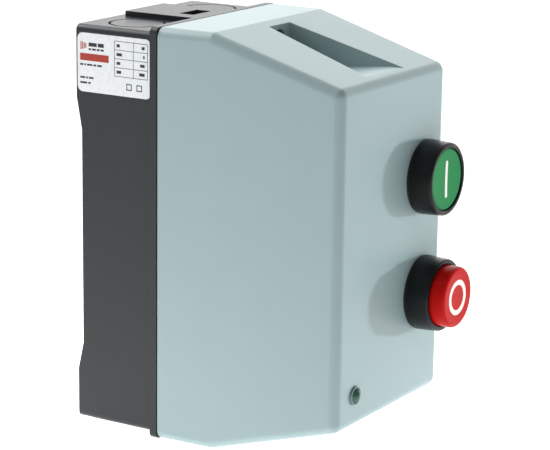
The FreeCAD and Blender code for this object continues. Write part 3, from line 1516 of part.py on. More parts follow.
def trip_parts():
    """Slider that the bimetals push sideways, and the lever it turns."""
    bar = box((f"{CX} - slider_left", f"{CX} + slider_right"), SLIDER_DEPTH, SLIDER_Z)
    notches = []
    for index in RELAY_POLES:
        middle = pole(index)
        left = f"{middle} - bimetal_sheet / 2 - slider_notch_play - slider_travel"
        right = f"{middle} + bimetal_sheet / 2 + slider_notch_play"
        depths = ("bimetal_rear - slider_notch_play", f"{SLIDER_DEPTH[1]} + overrun")
        notches.append(box((left, right), depths, (f"{SLIDER_Z[0]} - overrun", f"{SLIDER_Z[1]} + overrun")))
    node(cut(bar, *notches), "trip_slider")
    across = f"({CX} + lever_across)"
    depths = ("bimetal_rear", "bimetal_rear + lever_depth")
    hub = pin("lever_pin_radius + lever_hub_wall", across, depths, LEVER_Z)
    arm = box(around(across, "lever_thickness / 2"), depths, (f"{LEVER_Z} - lever_arm", LEVER_Z))
    finger_z = (f"{LEVER_Z} + finger_low", f"{LEVER_Z} + finger_high")
    finger = box((across, f"{across} + finger_length"), depths, finger_z)
    past = ("bimetal_rear - overrun", "bimetal_rear + lever_depth + overrun")
    bore = pin("lever_pin_radius + lever_running", across, past, LEVER_Z)
    node(cut(fuse(hub, arm, finger), bore), "trip_lever")


def relay_controls():
    """Stop and reset button with its spring, and the current dial."""
    stem_rear = "(reset_shelf_front + press_travel + reset_stroke_room)"
    flange = (stem_rear, f"{stem_rear} + reset_flange_thickness")
    button = fuse(
        pin("reset_radius", "button_across", (stem_rear, RESET_FACE), "stop_height"),
        pin("reset_flange", "button_across", flange, "stop_height"),
    )
    node(button, "relay_reset_button")
    span = ("reset_shelf_front", stem_rear)
    spring = coil("reset_spring_radius", "reset_spring_wire", "button_across", span, "stop_height")
    node(spring, "reset_spring")
    face = f"({RELAY_CAP} + dial_proud)"
    behind = f"({RELAY_CAP} - relay_cap_wall)"
    disc = pin("dial_radius", DIAL_X, (f"{behind} - dial_behind", face), DIAL_Z)
    shaft = pin("dial_shaft_radius", DIAL_X, (f"{behind} - dial_shaft_length", RELAY_CAP), DIAL_Z)
    slot_depths = (f"{face} - dial_slot_depth", f"{face} + overrun")
    slot = block(DIAL_X, "dial_radius - dial_slot_end", slot_depths, DIAL_Z, "dial_slot / 2")
    node(cut(fuse(disc, shaft), slot), "current_dial")


# ---------------------------------------------------------------------------------------------
# Control wires inside the enclosure
# ---------------------------------------------------------------------------------------------


def control_wires():
    """Three insulated wires, each held at both ends by a terminal.

    Each way-point is set off by a few millimetres from the piece that the wire passes there.
    """
    radius = length("wire_radius")
    floor = length("relief_depth") + length("base_floor")
    across = length("contactor_across")
    centre = length("contactor_centre")
    left = across - length("contactor_width") / 2
    plate_top = centre + length("contactor_lower_height") / 2 + length("coil_terminal_sheet")
    coil_z = plate_top + radius
    coil_middle = (length("coil_terminal_rear") + length("coil_terminal_front")) / 2
    coil_left = across - length("coil_terminal_across") - length("coil_terminal_width") / 2
    coil_right = across + length("coil_terminal_across")
    relay_low = centre - length("contactor_height") / 2 - length("relay_gap") - length("relay_height")
    stack = length("strip_sheet") + length("terminal_washer_sheet")
    control = length("relay_front") - length("relay_strip_sunk") + stack + radius
    first = across + length("control_first")
    second = across + length("control_second")
    block_right = length("tb_width") / 2 - length("lamp_across")
    block_z = length("lamp_height") + 2
    strip = floor + length("rail_depth") + length("contactor_lower_depth") + length("strip_level")
    aux_depth = strip + stack + radius
    aux = across + POLES[3] * length("pole_pitch")
    upper_end = centre + length("contactor_height") / 2
    routes = [
        [
            at(block_right, floor + 8, block_z),
            at(block_right + 9, floor + 9, block_z - 1),
            at(left + 3, length("relay_rear"), relay_low - 4),
            at(across - 2, control - 16, relay_low - 7),
            at(second - 5, control - 4, relay_low - 7.5),
            at(second, control, relay_low - 4),
            at(second, control, relay_low + 0.5),
        ],
        [
            at(coil_left, coil_middle, coil_z),
            at(left - 4, coil_middle, coil_z),
            at(left - 5, coil_middle + 2, centre - 14),
            at(left - 4, coil_middle + 10, relay_low + 18),
            at(left - 2, control - 10, relay_low - 4),
            at(across - 4, control - 6, relay_low - 5),
            at(first - 4, control - 2, relay_low - 5),
            at(first, control, relay_low - 3),
            at(first, control, relay_low + 0.5),
        ],
        [
            at(coil_right, length("coil_terminal_front"), coil_z),
            at(coil_right + 0.5, length("coil_terminal_front") + 10, upper_end + 3),
            at(aux, aux_depth - 5, upper_end + 3.5),
            at(aux, aux_depth, upper_end + 1.5),
            at(aux, aux_depth, upper_end - 3.5),
        ],
    ]
    group([shaped(wire_solid(points, radius)) for points in routes], "control_wires")


# ---------------------------------------------------------------------------------------------
# Build, check and write
# ---------------------------------------------------------------------------------------------


def build():
    base_box()
    rim_gasket()
    cover()
    cover_screws()
    rating_label()
    rail()
    earth_terminal()
    for name, height in BUTTONS:
        bezel(name, height)
    cap("start", "start_height", START_FRONT)
    cap("stop", "stop_height", STOP_FRONT)
    start_rod()
    stop_rod()
    panel_fixings()
    button_springs()
    lamp()
    lamp_supply()
    contactor_lower()
    contactor_upper()
    contactor_front()
    washers, screws = contactor_terminals()
    coil_terminals()
    magnet("fixed_core", (CORE_REAR, CORE_FACE), (f"{CORE_REAR} + core_yoke", f"{CORE_FACE} + overrun"))
    armature_legs = (f"{ARMATURE_FACE} - overrun", f"{ARMATURE_FACE} + core_leg")
    magnet("armature", (ARMATURE_FACE, ARMATURE_FRONT), armature_legs)
    magnet_coil()
    carrier()
    contactor_springs()
    rail_clip()
    relay_housing()
    relay_front()
    relay_washers, relay_screws = relay_conductors()
    group(washers + relay_washers, "terminal_washers")
    group(screws + relay_screws, "terminal_screws")
    heaters()
    trip_parts()
    relay_controls()
    control_wires()


def check():
    document.recompute()
    for item in document.Objects:
        if "Invalid" in item.State or "Error" in item.State:
            raise RuntimeError(f"{item.Name} failed: {item.State}")
    for label, item in nodes.items():
        if item.Shape.isNull() or not item.Shape.isValid() or not item.Shape.Solids:
            raise RuntimeError(f"{label} has no valid solid")


def write():
    os.makedirs("parts", exist_ok=True)
    for label, item in nodes.items():
        item.Shape.exportStep(os.path.join("parts", f"{label}.step"))
        print(f"{label}: {len(item.Shape.Solids)} solid(s), {item.Shape.Volume:.1f} mm3")


build()
check()
write()
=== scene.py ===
"""Visual model of an enclosed motor starter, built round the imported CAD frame, in metres.

+X is right as seen from the front, +Y runs into the wall, +Z is up. Depths are measured forwards
from the wall, so a depth d lies at y = -d. Shapes are worked out in millimetres as whole arrays.
"""

import json
import math

import bmesh
import bpy
import numpy as np
from mathutils import Matrix, Vector


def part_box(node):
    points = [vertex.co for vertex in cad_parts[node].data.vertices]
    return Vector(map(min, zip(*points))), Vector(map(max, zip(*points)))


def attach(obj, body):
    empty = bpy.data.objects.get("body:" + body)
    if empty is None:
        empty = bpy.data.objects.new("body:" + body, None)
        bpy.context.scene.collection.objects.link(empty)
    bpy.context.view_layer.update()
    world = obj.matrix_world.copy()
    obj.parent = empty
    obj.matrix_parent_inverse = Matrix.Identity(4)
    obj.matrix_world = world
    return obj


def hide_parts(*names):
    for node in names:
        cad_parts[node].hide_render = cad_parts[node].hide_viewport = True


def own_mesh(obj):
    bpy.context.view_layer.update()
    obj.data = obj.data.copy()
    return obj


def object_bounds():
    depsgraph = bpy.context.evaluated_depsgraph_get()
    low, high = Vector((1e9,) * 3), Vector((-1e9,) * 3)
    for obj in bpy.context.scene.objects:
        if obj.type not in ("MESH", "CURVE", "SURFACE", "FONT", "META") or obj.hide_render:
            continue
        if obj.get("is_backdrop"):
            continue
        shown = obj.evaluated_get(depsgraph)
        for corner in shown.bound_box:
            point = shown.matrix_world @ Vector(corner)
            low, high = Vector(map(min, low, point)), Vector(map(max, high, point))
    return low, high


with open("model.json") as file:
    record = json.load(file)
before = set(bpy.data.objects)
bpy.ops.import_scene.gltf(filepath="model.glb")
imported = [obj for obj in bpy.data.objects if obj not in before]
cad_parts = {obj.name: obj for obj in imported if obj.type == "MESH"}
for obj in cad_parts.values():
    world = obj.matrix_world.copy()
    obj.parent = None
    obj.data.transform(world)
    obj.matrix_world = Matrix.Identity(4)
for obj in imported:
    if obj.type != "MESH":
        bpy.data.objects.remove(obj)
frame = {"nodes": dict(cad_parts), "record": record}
CAD_LOW, CAD_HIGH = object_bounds()
NODES = frame["nodes"]
SLOT_OF = {row["node"]: row["material_slot"] for row in frame["record"]["subparts"]}
MM = 0.001
TURN = 2 * math.pi


# ---------------------------------------------------------------- colours and nodes


def colour(code):
    """Linear RGBA of an sRGB hex value, by the standard two-part curve."""
    share = np.array([int(code[k : k + 2], 16) for k in (1, 3, 5)]) / 255.0
    straight = np.where(share <= 0.04045, share / 12.92, ((share + 0.055) / 1.055) ** 2.4)
    return (*straight.tolist(), 1.0)


def add(tree, kind, sockets=None, **settings):
    """Adds a node with its settings; each socket gets a value or a link from another node's output."""
    made = tree.nodes.new(kind)
    for name, value in settings.items():
        setattr(made, name, value)
    for socket, value in (sockets or {}).items():
        if isinstance(value, bpy.types.NodeSocket):
            tree.links.new(value, made.inputs[socket])
        else:
            made.inputs[socket].default_value = value
    return made


# the values of a noise texture lie mostly between these two
NOISE_LOW, NOISE_HIGH = 0.3, 0.7


def finish(
    name, base, shade, rough, patch=14.0, grain=0.4, relief=0.006, stretch=(1, 1, 1), bands=None, **surface
):
    """A procedural finish, with its sizes in mm.

    The colour drifts between base and shade over patches of the given size. A fine grain of the given
    size makes the bump, as deep as relief, and moves the roughness between its two bounds; it is drawn
    out along an axis where stretch is small. Bands are (axis, spacing, relief) of even ridges across
    the surface. Other settings go to the socket of the same name: ior=1.5 sets IOR.
    """
    material = bpy.data.materials.new(name)
    material.use_nodes = True
    tree = material.node_tree
    tree.nodes.clear()
    place = add(tree, "ShaderNodeTexCoord").outputs["Object"]
    drift = add(tree, "ShaderNodeTexNoise", {"Vector": place, "Scale": 1 / (patch * MM), "Detail": 3.0})
    mixed = add(
        tree,
        "ShaderNodeMix",
        {0: drift.outputs["Fac"], 6: colour(base), 7: colour(shade)},
        data_type="RGBA",
    )
    drawn = add(tree, "ShaderNodeMapping", {"Vector": place, "Scale": stretch})
    fine = add(
        tree,
        "ShaderNodeTexNoise",
        {"Vector": drawn.outputs["Vector"], "Scale": 1 / (grain * MM), "Detail": 2.0},
    )
    gloss = add(
        tree,
        "ShaderNodeMapRange",
        {
            "Value": fine.outputs["Fac"],
            "From Min": NOISE_LOW,
            "From Max": NOISE_HIGH,
            "To Min": rough[0],
            "To Max": rough[1],
        },
    )
    bump = add(
        tree,
        "ShaderNodeBump",
        {"Height": fine.outputs["Fac"], "Distance": relief * MM, "Strength": 1.0},
    )
    if bands:
        axis, spacing, ridge = bands
        # one full wave of the band texture is 1 / (scale * 20 / 2 pi) long
        wave = add(
            tree,
            "ShaderNodeTexWave",
            {"Vector": place, "Scale": TURN / 20 / (spacing * MM), "Distortion": 0.4, "Detail": 1.0},
            bands_direction=axis,
        )
        bump = add(
            tree,
            "ShaderNodeBump",
            {
                "Height": wave.outputs["Fac"],
                "Distance": ridge * MM,
                "Strength": 1.0,
                "Normal": bump.outputs["Normal"],
            },
        )
    skin = add(
        tree,
        "ShaderNodeBsdfPrincipled",
        {
            "Base Color": mixed.outputs[2],
            "Roughness": gloss.outputs["Result"],
            "Normal": bump.outputs["Normal"],
        },
    )
    for socket, value in surface.items():
        skin.inputs[socket.replace("_", " ").title().replace("Ior", "IOR")].default_value = value
    add(tree, "ShaderNodeOutputMaterial", {"Surface": skin.outputs["BSDF"]})
    return material


FINISHES = {
    # ABS and polycarbonate blend from a spark-eroded mould: satin, with an even fine orange peel
    "cover_plastic": finish(
        "moulded_abs_grey", "#9CB2B4", "#98AEB0", (0.36, 0.46), grain=0.45, relief=0.005, ior=1.55
    ),
    # charcoal glass-filled nylon: darker satin with a bit coarser grain
    "base_plastic": finish(
        "moulded_nylon_charcoal", "#2B2E31", "#26292C", (0.34, 0.46),
        grain=0.5, relief=0.006, ior=1.53, specular_ior_level=0.3,
    ),
    # black acetal of the bezels: smooth, with a soft sheen
    "black_plastic": finish(
        "turned_acetal_black", "#0C0C0E", "#100F10", (0.30, 0.40),
        grain=0.3, relief=0.002, ior=1.48, specular_ior_level=0.28,
    ),
    # ABS coloured in the mass, from a fine satin mould: the two push caps
    "green_plastic": finish(
        "moulded_cap_green", "#0F8144", "#128548", (0.30, 0.40),
        grain=0.8, relief=0.001, ior=1.45, specular_ior_level=0.12,
    ),
    "red_plastic": finish(
        "moulded_cap_red", "#BE0C07", "#C4100A", (0.30, 0.40),
        grain=0.8, relief=0.001, ior=1.45, specular_ior_level=0.12,
    ),
    # white paint that fills the button symbols: matt, slightly warm
    "white_inlay": finish("inlay_paint_white", "#F3F3EC", "#EFEEE6", (0.38, 0.48), grain=0.3, relief=0.002),
    # nitrile rubber: dull black with a fine matt grain
    "rubber": finish(
        "nitrile_rubber_black", "#1B1C1D", "#222324", (0.62, 0.75), grain=0.25, relief=0.008, ior=1.52
    ),
    # steel with bright zinc plating: silvery, slight blue cast, faint streaks
    "zinc_steel": finish(
        "zinc_plated_steel", "#C3C8CE", "#AEB4BB", (0.26, 0.40),
        patch=5.0, grain=0.6, relief=0.003, metallic=1.0,
    ),
    # rolled brass: warm yellow with drawn lines along X
    "brass": finish(
        "rolled_brass", "#D3AE62", "#BF974C", (0.22, 0.36),
        patch=4.0, grain=0.2, relief=0.003, stretch=(0.1, 1, 1), metallic=1.0,
    ),
    # laminated vinyl film: white, smooth, with a very slight ripple
    "label_film": finish(
        "vinyl_film_white", "#EAEEF0", "#E7EBEE", (0.24, 0.32),
        patch=9.0, grain=3.0, relief=0.004, ior=1.48,
    ),
    # hard-drawn spring wire: dark oily steel
    "spring_steel": finish(
        "spring_wire_steel", "#8A8D92", "#73767B", (0.22, 0.34),
        patch=2.0, grain=0.2, relief=0.002, metallic=1.0,
    ),
    # clear green acrylic lens, dark inside because the lamp is off
    "green_lens": finish(
        "lamp_lens_green", "#3E7A62", "#356D57", (0.06, 0.10),
        grain=1.2, relief=0.001, ior=1.49, transmission_weight=0.45,
    ),
    # translucent grey polycarbonate ring round the lens
    "lamp_body": finish(
        "lamp_holder_smoke", "#7E9296", "#748A8E", (0.14, 0.22),
        grain=0.6, relief=0.001, ior=1.58, transmission_weight=0.25,
    ),
    # soft PVC sleeving of the wires: satin black
    "wire_insulation": finish(
        "pvc_insulation_black", "#242529", "#2C2D31", (0.38, 0.5),
        patch=6.0, grain=0.5, relief=0.003, ior=1.53,
    ),
    # glass-filled polyamide of the contactor and relay: matt anthracite with visible flow
    "contactor_plastic": finish(
        "filled_polyamide_anthracite", "#33363A", "#2A2D31", (0.42, 0.56),
        patch=9.0, grain=0.35, relief=0.008, ior=1.53,
    ),
    # the same polyamide in lighter grey: the relay's cap
    "relay_cap_plastic": finish(
        "filled_polyamide_grey", "#8E9599", "#858C90", (0.38, 0.5),
        patch=9.0, grain=0.35, relief=0.006, ior=1.53,
    ),
    # copper strip with a silver flash: pale and warm
    "silvered_copper": finish(
        "silvered_copper", "#D9CBB8", "#C9B59B", (0.2, 0.34),
        patch=3.0, grain=0.25, relief=0.003, metallic=1.0,
    ),
    # stack of varnished silicon-steel sheets half a millimetre thick, drawn 0.8 mm so that they show
    "core_steel": finish(
        "laminated_core_steel", "#6E7276", "#5A5E63", (0.32, 0.5),
        patch=3.0, grain=0.3, relief=0.004, bands=("Z", 0.8, 0.05), metallic=1.0,
    ),
    # off-white bobbin nylon
    "bobbin_plastic": finish(
        "natural_nylon", "#D8D3C4", "#CEC8B6", (0.36, 0.5), patch=7.0, grain=0.35, relief=0.005, ior=1.53
    ),
    # enamelled copper wire 0.25 mm thick, drawn 0.5 mm so that the turns show
    "enamelled_copper": finish(
        "enamelled_copper_wire", "#8E4A22", "#7A3C1A", (0.18, 0.3),
        patch=2.0, grain=0.3, relief=0.003, bands=("Y", 0.5, 0.12), metallic=0.9,
    ),
    # bimetal strip: grey nickel steel
    "bimetal": finish(
        "bimetal_strip", "#A39D93", "#8F8A82", (0.28, 0.42),
        patch=2.5, grain=0.2, relief=0.003, metallic=1.0,
    ),
    # blue moulded ABS of the relay's stop and reset button
    "blue_plastic": finish(
        "moulded_button_blue", "#1D5AA6", "#1A5299", (0.26, 0.36), grain=0.4, relief=0.003, ior=1.53
    ),
    # ivory moulded nylon of the relay's dial
    "dial_plastic": finish(
        "moulded_dial_ivory", "#E2DCC6", "#D9D2BA", (0.32, 0.44), grain=0.35, relief=0.004, ior=1.53
    ),
}
# screen and pad printing on the label and the mouldings: thin, dead matt layers of ink
INK_BLACK = finish(
    "screen_ink_black", "#1D1D1F", "#262628", (0.42, 0.55), patch=2.0, grain=0.25, relief=0.002
)
INK_RED = finish(
    "screen_ink_red", "#AE3420", "#A42E1B", (0.40, 0.52), patch=2.0, grain=0.25, relief=0.002
)
INK_WHITE = finish(
    "pad_printing_white", "#DDDFDE", "#D2D4D3", (0.45, 0.58), patch=2.0, grain=0.25, relief=0.002
)
# white sheet of the floor that the object stands on; the glow given to it further down is painted light
FLOOR_SHEET_PAINTED_GLOW = finish(
    "white_floor_painted_glow", "#FAFAFA", "#F6F6F6", (0.75, 0.85), patch=400.0, grain=6.0, relief=0.01
)


# ---------------------------------------------------------------- shapes as arrays, in millimetres


def rounded(corners, radii, steps=7, closed=True):
    """Outline with its corners rounded.

    At each corner the centre lies on the bisector, radius / sin(half angle) away, and the arc turns
    evenly from one tangent point to the other by the great-circle blend of its two end spokes.
    """
    corners = np.asarray(corners, float)
    radii = np.broadcast_to(np.asarray(radii, float), len(corners))
    back = np.roll(corners, 1, axis=0) - corners
    ahead = np.roll(corners, -1, axis=0) - corners
    back /= np.linalg.norm(back, axis=1, keepdims=True)
    ahead /= np.linalg.norm(ahead, axis=1, keepdims=True)
    half = np.arccos(np.clip((back * ahead).sum(1), -1, 1)) / 2
    reach = (radii / np.tan(half))[:, None]
    bisector = back + ahead
    bisector /= np.linalg.norm(bisector, axis=1, keepdims=True)
    centre = corners + bisector * (radii / np.sin(half))[:, None]
    first = corners + back * reach - centre
    last = corners + ahead * reach - centre
    sweep = (math.pi - 2 * half)[:, None, None]
    share = np.linspace(0, 1, steps)[None, :, None]
    leaving = np.sin((1 - share) * sweep) * first[:, None]
    arriving = np.sin(share * sweep) * last[:, None]
    arcs = centre[:, None] + (leaving + arriving) / np.sin(sweep)
    if not closed:
        arcs = arcs[1:-1]
        return np.vstack([corners[:1], arcs.reshape(-1, 2), corners[-1:]])
    return arcs.reshape(-1, 2)


def turned(profile, x, z, segments=96, closed=True):
    """Surface of revolution about a line along the depth at (x, z).

    A point (r, d) of the profile becomes (x + r cos t, d, z + r sin t) for even steps of the angle t.
    A closed profile makes a ring; an open one starts and ends on the axis, where its points merge.
    """
    angle = np.arange(segments) * TURN / segments
    radius, depth = np.asarray(profile, float).T
    points = np.stack(
        [
            x + radius[None] * np.cos(angle)[:, None],
            np.broadcast_to(depth, (segments, len(depth))),
            z + radius[None] * np.sin(angle)[:, None],
        ],
        axis=-1,
    )
    return points.reshape(-1, 3), lattice(segments, len(depth), True, closed)


def lattice(rows, columns, rows_wrap, columns_wrap, start=0):
    """Four-cornered faces of a grid of points, joined round where a direction wraps."""
    row = np.arange(rows if rows_wrap else rows - 1)[:, None]
    column = np.arange(columns if columns_wrap else columns - 1)[None]
    below = (row + 1) % rows
    beside = (column + 1) % columns
    corners = [
        row * columns + column,
        row * columns + beside,
        below * columns + beside,
        below * columns + column,
    ]
    grid = [np.broadcast_to(corner, (row.size, column.size)) for corner in corners]
    return np.stack(grid, -1).reshape(-1, 4) + start


def tube(path, spokes, radius, sides=10):
    """Round wire along a path: at each point a circle lies square to the path, set out from its spoke."""
    along = np.gradient(path, axis=0)
    along /= np.linalg.norm(along, axis=1, keepdims=True)
    spokes = spokes - (spokes * along).sum(1, keepdims=True) * along
    spokes /= np.linalg.norm(spokes, axis=1, keepdims=True)
    across = np.cross(along, spokes)
    angle = (np.arange(sides) * TURN / sides)[None, :, None]
    rings = path[:, None] + radius * (np.cos(angle) * spokes[:, None] + np.sin(angle) * across[:, None])
    points = np.vstack([path[:1], rings.reshape(-1, 3), path[-1:]])
    count = len(path)
    faces = [tuple(f) for f in lattice(count, sides, False, True, 1).tolist()]
    side = np.arange(sides)
    last = 1 + (count - 1) * sides
    faces += [(0, 1 + (k + 1) % sides, 1 + k) for k in side.tolist()]
    faces += [(len(points) - 1, last + k, last + (k + 1) % sides) for k in side.tolist()]
    return points, faces


STEPS_PER_TURN = 28
CROWDING = 0.85


def spring(centre, span, coil, axis=1):
    """Coil spring with closed ends, from its coil: (radius of the turns, radius of the wire, turns).

    The angle grows evenly, and the height along the axis grows as t - CROWDING sin(2 pi t) / (2 pi),
    so the turns lie close at both ends and open in the middle.
    """
    radius, wire, turns = coil
    share = np.linspace(0, 1, int(turns * STEPS_PER_TURN) + 1)
    height = share - CROWDING * np.sin(TURN * share) / TURN
    low, high = min(span) + wire, max(span) - wire
    angle = TURN * turns * share
    spoke = np.zeros((len(share), 3))
    sides = [k for k in range(3) if k != axis]
    spoke[:, sides[0]] = np.cos(angle)
    spoke[:, sides[1]] = np.sin(angle)
    path = np.asarray(centre, float) + radius * spoke
    path[:, axis] = low + (high - low) * height
    return tube(path, spoke, wire, 8)


def plate(outline, front, back, axes):
    """Flat plate: an outline in two axes, carried along the third from front to back."""
    third = ({0, 1, 2} - set(axes)).pop()
    count = len(outline)
    points = np.zeros((2 * count, 3))
    points[:, axes[0]] = np.tile(outline[:, 0], 2)
    points[:, axes[1]] = np.tile(outline[:, 1], 2)
    points[:count, third] = front
    points[count:, third] = back
    ring = lattice(2, count, False, True).tolist()
    return points, ring + [list(range(count)), list(range(2 * count - 1, count - 1, -1))]


def bars(table, front, back):
    """Thin printed bars in the side plane: each row of the table is (depth from, to, height from, to)."""
    table = np.asarray(table, float)
    pick = np.array([[0, 2], [1, 2], [1, 3], [0, 3]])
    flat = table[:, pick]
    x = np.broadcast_to(np.array([front, back])[None, :, None], (len(table), 2, 4))
    points = np.concatenate([x[..., None], np.broadcast_to(flat[:, None], (len(table), 2, 4, 2))], -1)
    box = np.array([[0, 1, 2, 3], [7, 6, 5, 4], [0, 4, 5, 1], [1, 5, 6, 2], [2, 6, 7, 3], [3, 7, 4, 0]])
    faces = box[None] + 8 * np.arange(len(table))[:, None, None]
    return points.reshape(-1, 3), faces.reshape(-1, 4).tolist()


def joined(*parts):
    """Several shapes as one: the corner numbers of each are moved past those of the shapes before."""
    points = np.vstack([p for p, _ in parts])
    starts = np.cumsum([0] + [len(p) for p, _ in parts])
    faces = [[int(c) + int(s) for c in face] for (_, part), s in zip(parts, starts) for face in part]
    return points, faces


def piece(name, shape, body, slot=None, material=None, instead=(), sharp=38):
    """Makes a mesh piece from a shape in millimetres with depths, closed up and facing outwards."""
    points, faces = shape
    placed = np.asarray(points, float) * MM * np.array([1, -1, 1])
    mesh = bpy.data.meshes.new(name)
    mesh.from_pydata(placed.tolist(), [], [list(f) for f in faces])
    work = bmesh.new()
    work.from_mesh(mesh)
    bmesh.ops.remove_doubles(work, verts=work.verts, dist=1e-7)
    bmesh.ops.recalc_face_normals(work, faces=work.faces)
    work.to_mesh(mesh)
    work.free()
    mesh.polygons.foreach_set("use_smooth", [True] * len(mesh.polygons))
    mesh.set_sharp_from_angle(angle=math.radians(sharp))
    mesh.materials.append(material or FINISHES[slot])
    made = bpy.data.objects.new(name, mesh)
    bpy.context.scene.collection.objects.link(made)
    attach(made, body)
    if instead:
        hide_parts(*instead)
    return made


# ---------------------------------------------------------------- places taken from the frame


def middle(node):
    """Centre of a CAD node in millimetres, as (x, depth, z)."""
    low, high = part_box(node)
    return [(low[0] + high[0]) / 2 / MM, -(low[1] + high[1]) / 2 / MM, (low[2] + high[2]) / 2 / MM]


def depths(node):
    """Nearest and furthest depth of a CAD node from the wall, in millimetres."""
    low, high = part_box(node)
    return -high[1] / MM, -low[1] / MM


# ---------------------------------------------------------------- CAD pieces that stay


# widths of the softened edges of the two shells and of the small pieces, in millimetres
SHELL_EDGE = 0.35
SMALL_EDGE = 0.12
# faces that meet at more than this angle make an edge; corners nearer than this, in metres, are one
CORNER = math.radians(35)
SAME_POINT = 1e-6

for name, item in NODES.items():
    item.data.materials.clear()
    item.data.materials.append(FINISHES[SLOT_OF[name]])
    item.data.polygons.foreach_set("use_smooth", [True] * len(item.data.polygons))
    item.modifiers.new("merge", "WELD").merge_threshold = SAME_POINT
    edge = item.modifiers.new("soft_edges", "BEVEL")
    edge.width = (SHELL_EDGE if name in ("cover", "base_box") else SMALL_EDGE) * MM
    edge.segments = 2
    edge.limit_method = "ANGLE"
    edge.angle_limit = CORNER
    edge.use_clamp_overlap = True
    item.modifiers.new("even_shading", "WEIGHTED_NORMAL").keep_sharp = True


# ---------------------------------------------------------------- buttons


BUTTON_X = middle("start_bezel")[0]
BEZEL_REAR, BEZEL_FRONT = depths("start_bezel")
PANEL_FRONT = depths("cover")[1]
# radii of the bezel at its foot and lip, its well, its barrel outside and inside, the cap and its stem
BEZEL_OUTER = 15.2
BEZEL_TIP = 14.7
WELL = 12.7
BARREL = 11.0
BARREL_BORE = 8.6
CAP = 12.5
STEM = 5.0
STEM_BORE = STEM + 0.25
# depths in front of the panel: of the seal under the bezel, the well's floor and the cap's skirt
SEAL = 0.8
WELL_FLOOR = 1.4
SKIRT = 6.2
# the barrel's rear wall, the panel's own wall, and how deep a cap's face is hollowed
BARREL_END = 2
PANEL_WALL = 2.6
DISH = 0.35
# the thread: half its depth, crest to crest, and the length and depth of its lead-in
THREAD_SWING = 0.25
THREAD_PITCH = 1.5
THREAD_LEAD = 0.8
LEAD_DEPTH = 0.6
# sides of a round piece, steps along the thread, and steps from the middle of a cap to its rim
ROUND = 128
THREAD_STEPS = 90
FACE_STEPS = 14


def bezel(name, z):
    """Ring in front of the panel with a soft lip, and its threaded barrel behind the panel.

    The thread's radius at a depth d is BARREL - THREAD_SWING + THREAD_SWING cos(2 pi d / THREAD_PITCH).
    """
    shoulder = PANEL_FRONT + SEAL
    floor = PANEL_FRONT + WELL_FLOOR
    along = np.linspace(BEZEL_REAR + THREAD_LEAD, PANEL_FRONT - PANEL_WALL, THREAD_STEPS)
    crest = BARREL - THREAD_SWING + THREAD_SWING * np.cos(TURN * along / THREAD_PITCH)
    thread = np.stack([crest, along], 1)
    corners_and_radii = [
        ((BARREL, along[-1]), 0.1),
        ((BARREL, shoulder), 0.15),
        ((BEZEL_OUTER, shoulder), 0.25),
        ((BEZEL_TIP, BEZEL_FRONT), 0.95),
        ((WELL, BEZEL_FRONT), 0.5),
        ((WELL, floor), 0.3),
        ((BARREL_BORE, floor), 0.2),
        ((BARREL_BORE, BEZEL_REAR + BARREL_END), 0.3),
        ((STEM_BORE, BEZEL_REAR + BARREL_END), 0.15),
        ((STEM_BORE, BEZEL_REAR), 0.15),
        ((BARREL - LEAD_DEPTH, BEZEL_REAR), 0.2),
        ((BARREL - THREAD_SWING, BEZEL_REAR + THREAD_LEAD), 0.1),
    ]
    outer = rounded(*zip(*corners_and_radii), closed=False)
    profile = np.vstack([outer, thread[1:-1]])
    shape = turned(profile, BUTTON_X, z, ROUND)
    piece(f"{name}_bezel_ring", shape, "cover", "black_plastic", instead=[f"{name}_bezel"])


def dished(radius, front):
    """Depth of a cap's face at a radius: front - DISH (1 - (radius / CAP)^2), a shallow bowl."""
    return front - DISH * (1 - (radius / CAP) ** 2)


def button(name, z, tint, edge):
    """Push cap with a dished face, a rounded rim of the given radius and a stem."""
    rear = PANEL_FRONT + SKIRT
    end, front = depths(f"{name}_cap")
    reach = np.linspace(0, CAP - 2 * edge, FACE_STEPS)
    face = np.stack([reach, dished(reach, front)], 1)
    corners_and_radii = [
        (face[-1], 0.1),
        ((CAP, front), edge),
        ((CAP, rear), 0.3),
        ((STEM, rear), 0.2),
        ((STEM, end), 0.5),
        ((0, end), 0.1),
    ]
    rim = rounded(*zip(*corners_and_radii), steps=9, closed=False)
    shape = turned(np.vstack([face, rim[1:]]), BUTTON_X, z, ROUND, closed=False)
    piece(f"{name}_push_cap", shape, f"{name}_button", tint, instead=[f"{name}_cap"])
    return front


START_Z = middle("start_bezel")[2]
STOP_Z = middle("stop_bezel")[2]
bezel("start", START_Z)
bezel("stop", STOP_Z)
start_front = button("start", START_Z, "green_plastic", edge=0.7)
stop_front = button("stop", STOP_Z, "red_plastic", edge=1.5)

# the bar lies in the dish: its outline is a slot shape, never quite closed at its tips, and its face
# follows the bowl a hair above it
MARK_PROUD = 0.04
MARK_DEPTH = 0.3
BAR_LENGTH, BAR_WIDTH = 15.3, 1.8
TIP_SQUARED = 1e-4
ROWS, LANES = 41, 7
run = np.linspace(-1, 1, ROWS)[:, None] * np.ones((1, LANES))
lane = np.ones((ROWS, 1)) * np.linspace(-1, 1, LANES)[None]
half_width = BAR_WIDTH / 2
straight = BAR_LENGTH / 2 - half_width
up = run * BAR_LENGTH / 2
past = np.clip(np.abs(up) - straight, 0, half_width)
side = lane * np.sqrt(np.maximum(half_width**2 - past**2, TIP_SQUARED))
top = np.stack([BUTTON_X + side, dished(np.hypot(side, up), start_front) + MARK_PROUD, START_Z + up], -1)
under = top - np.array([0, MARK_DEPTH, 0])
sheet = lattice(ROWS, LANES, False, False)
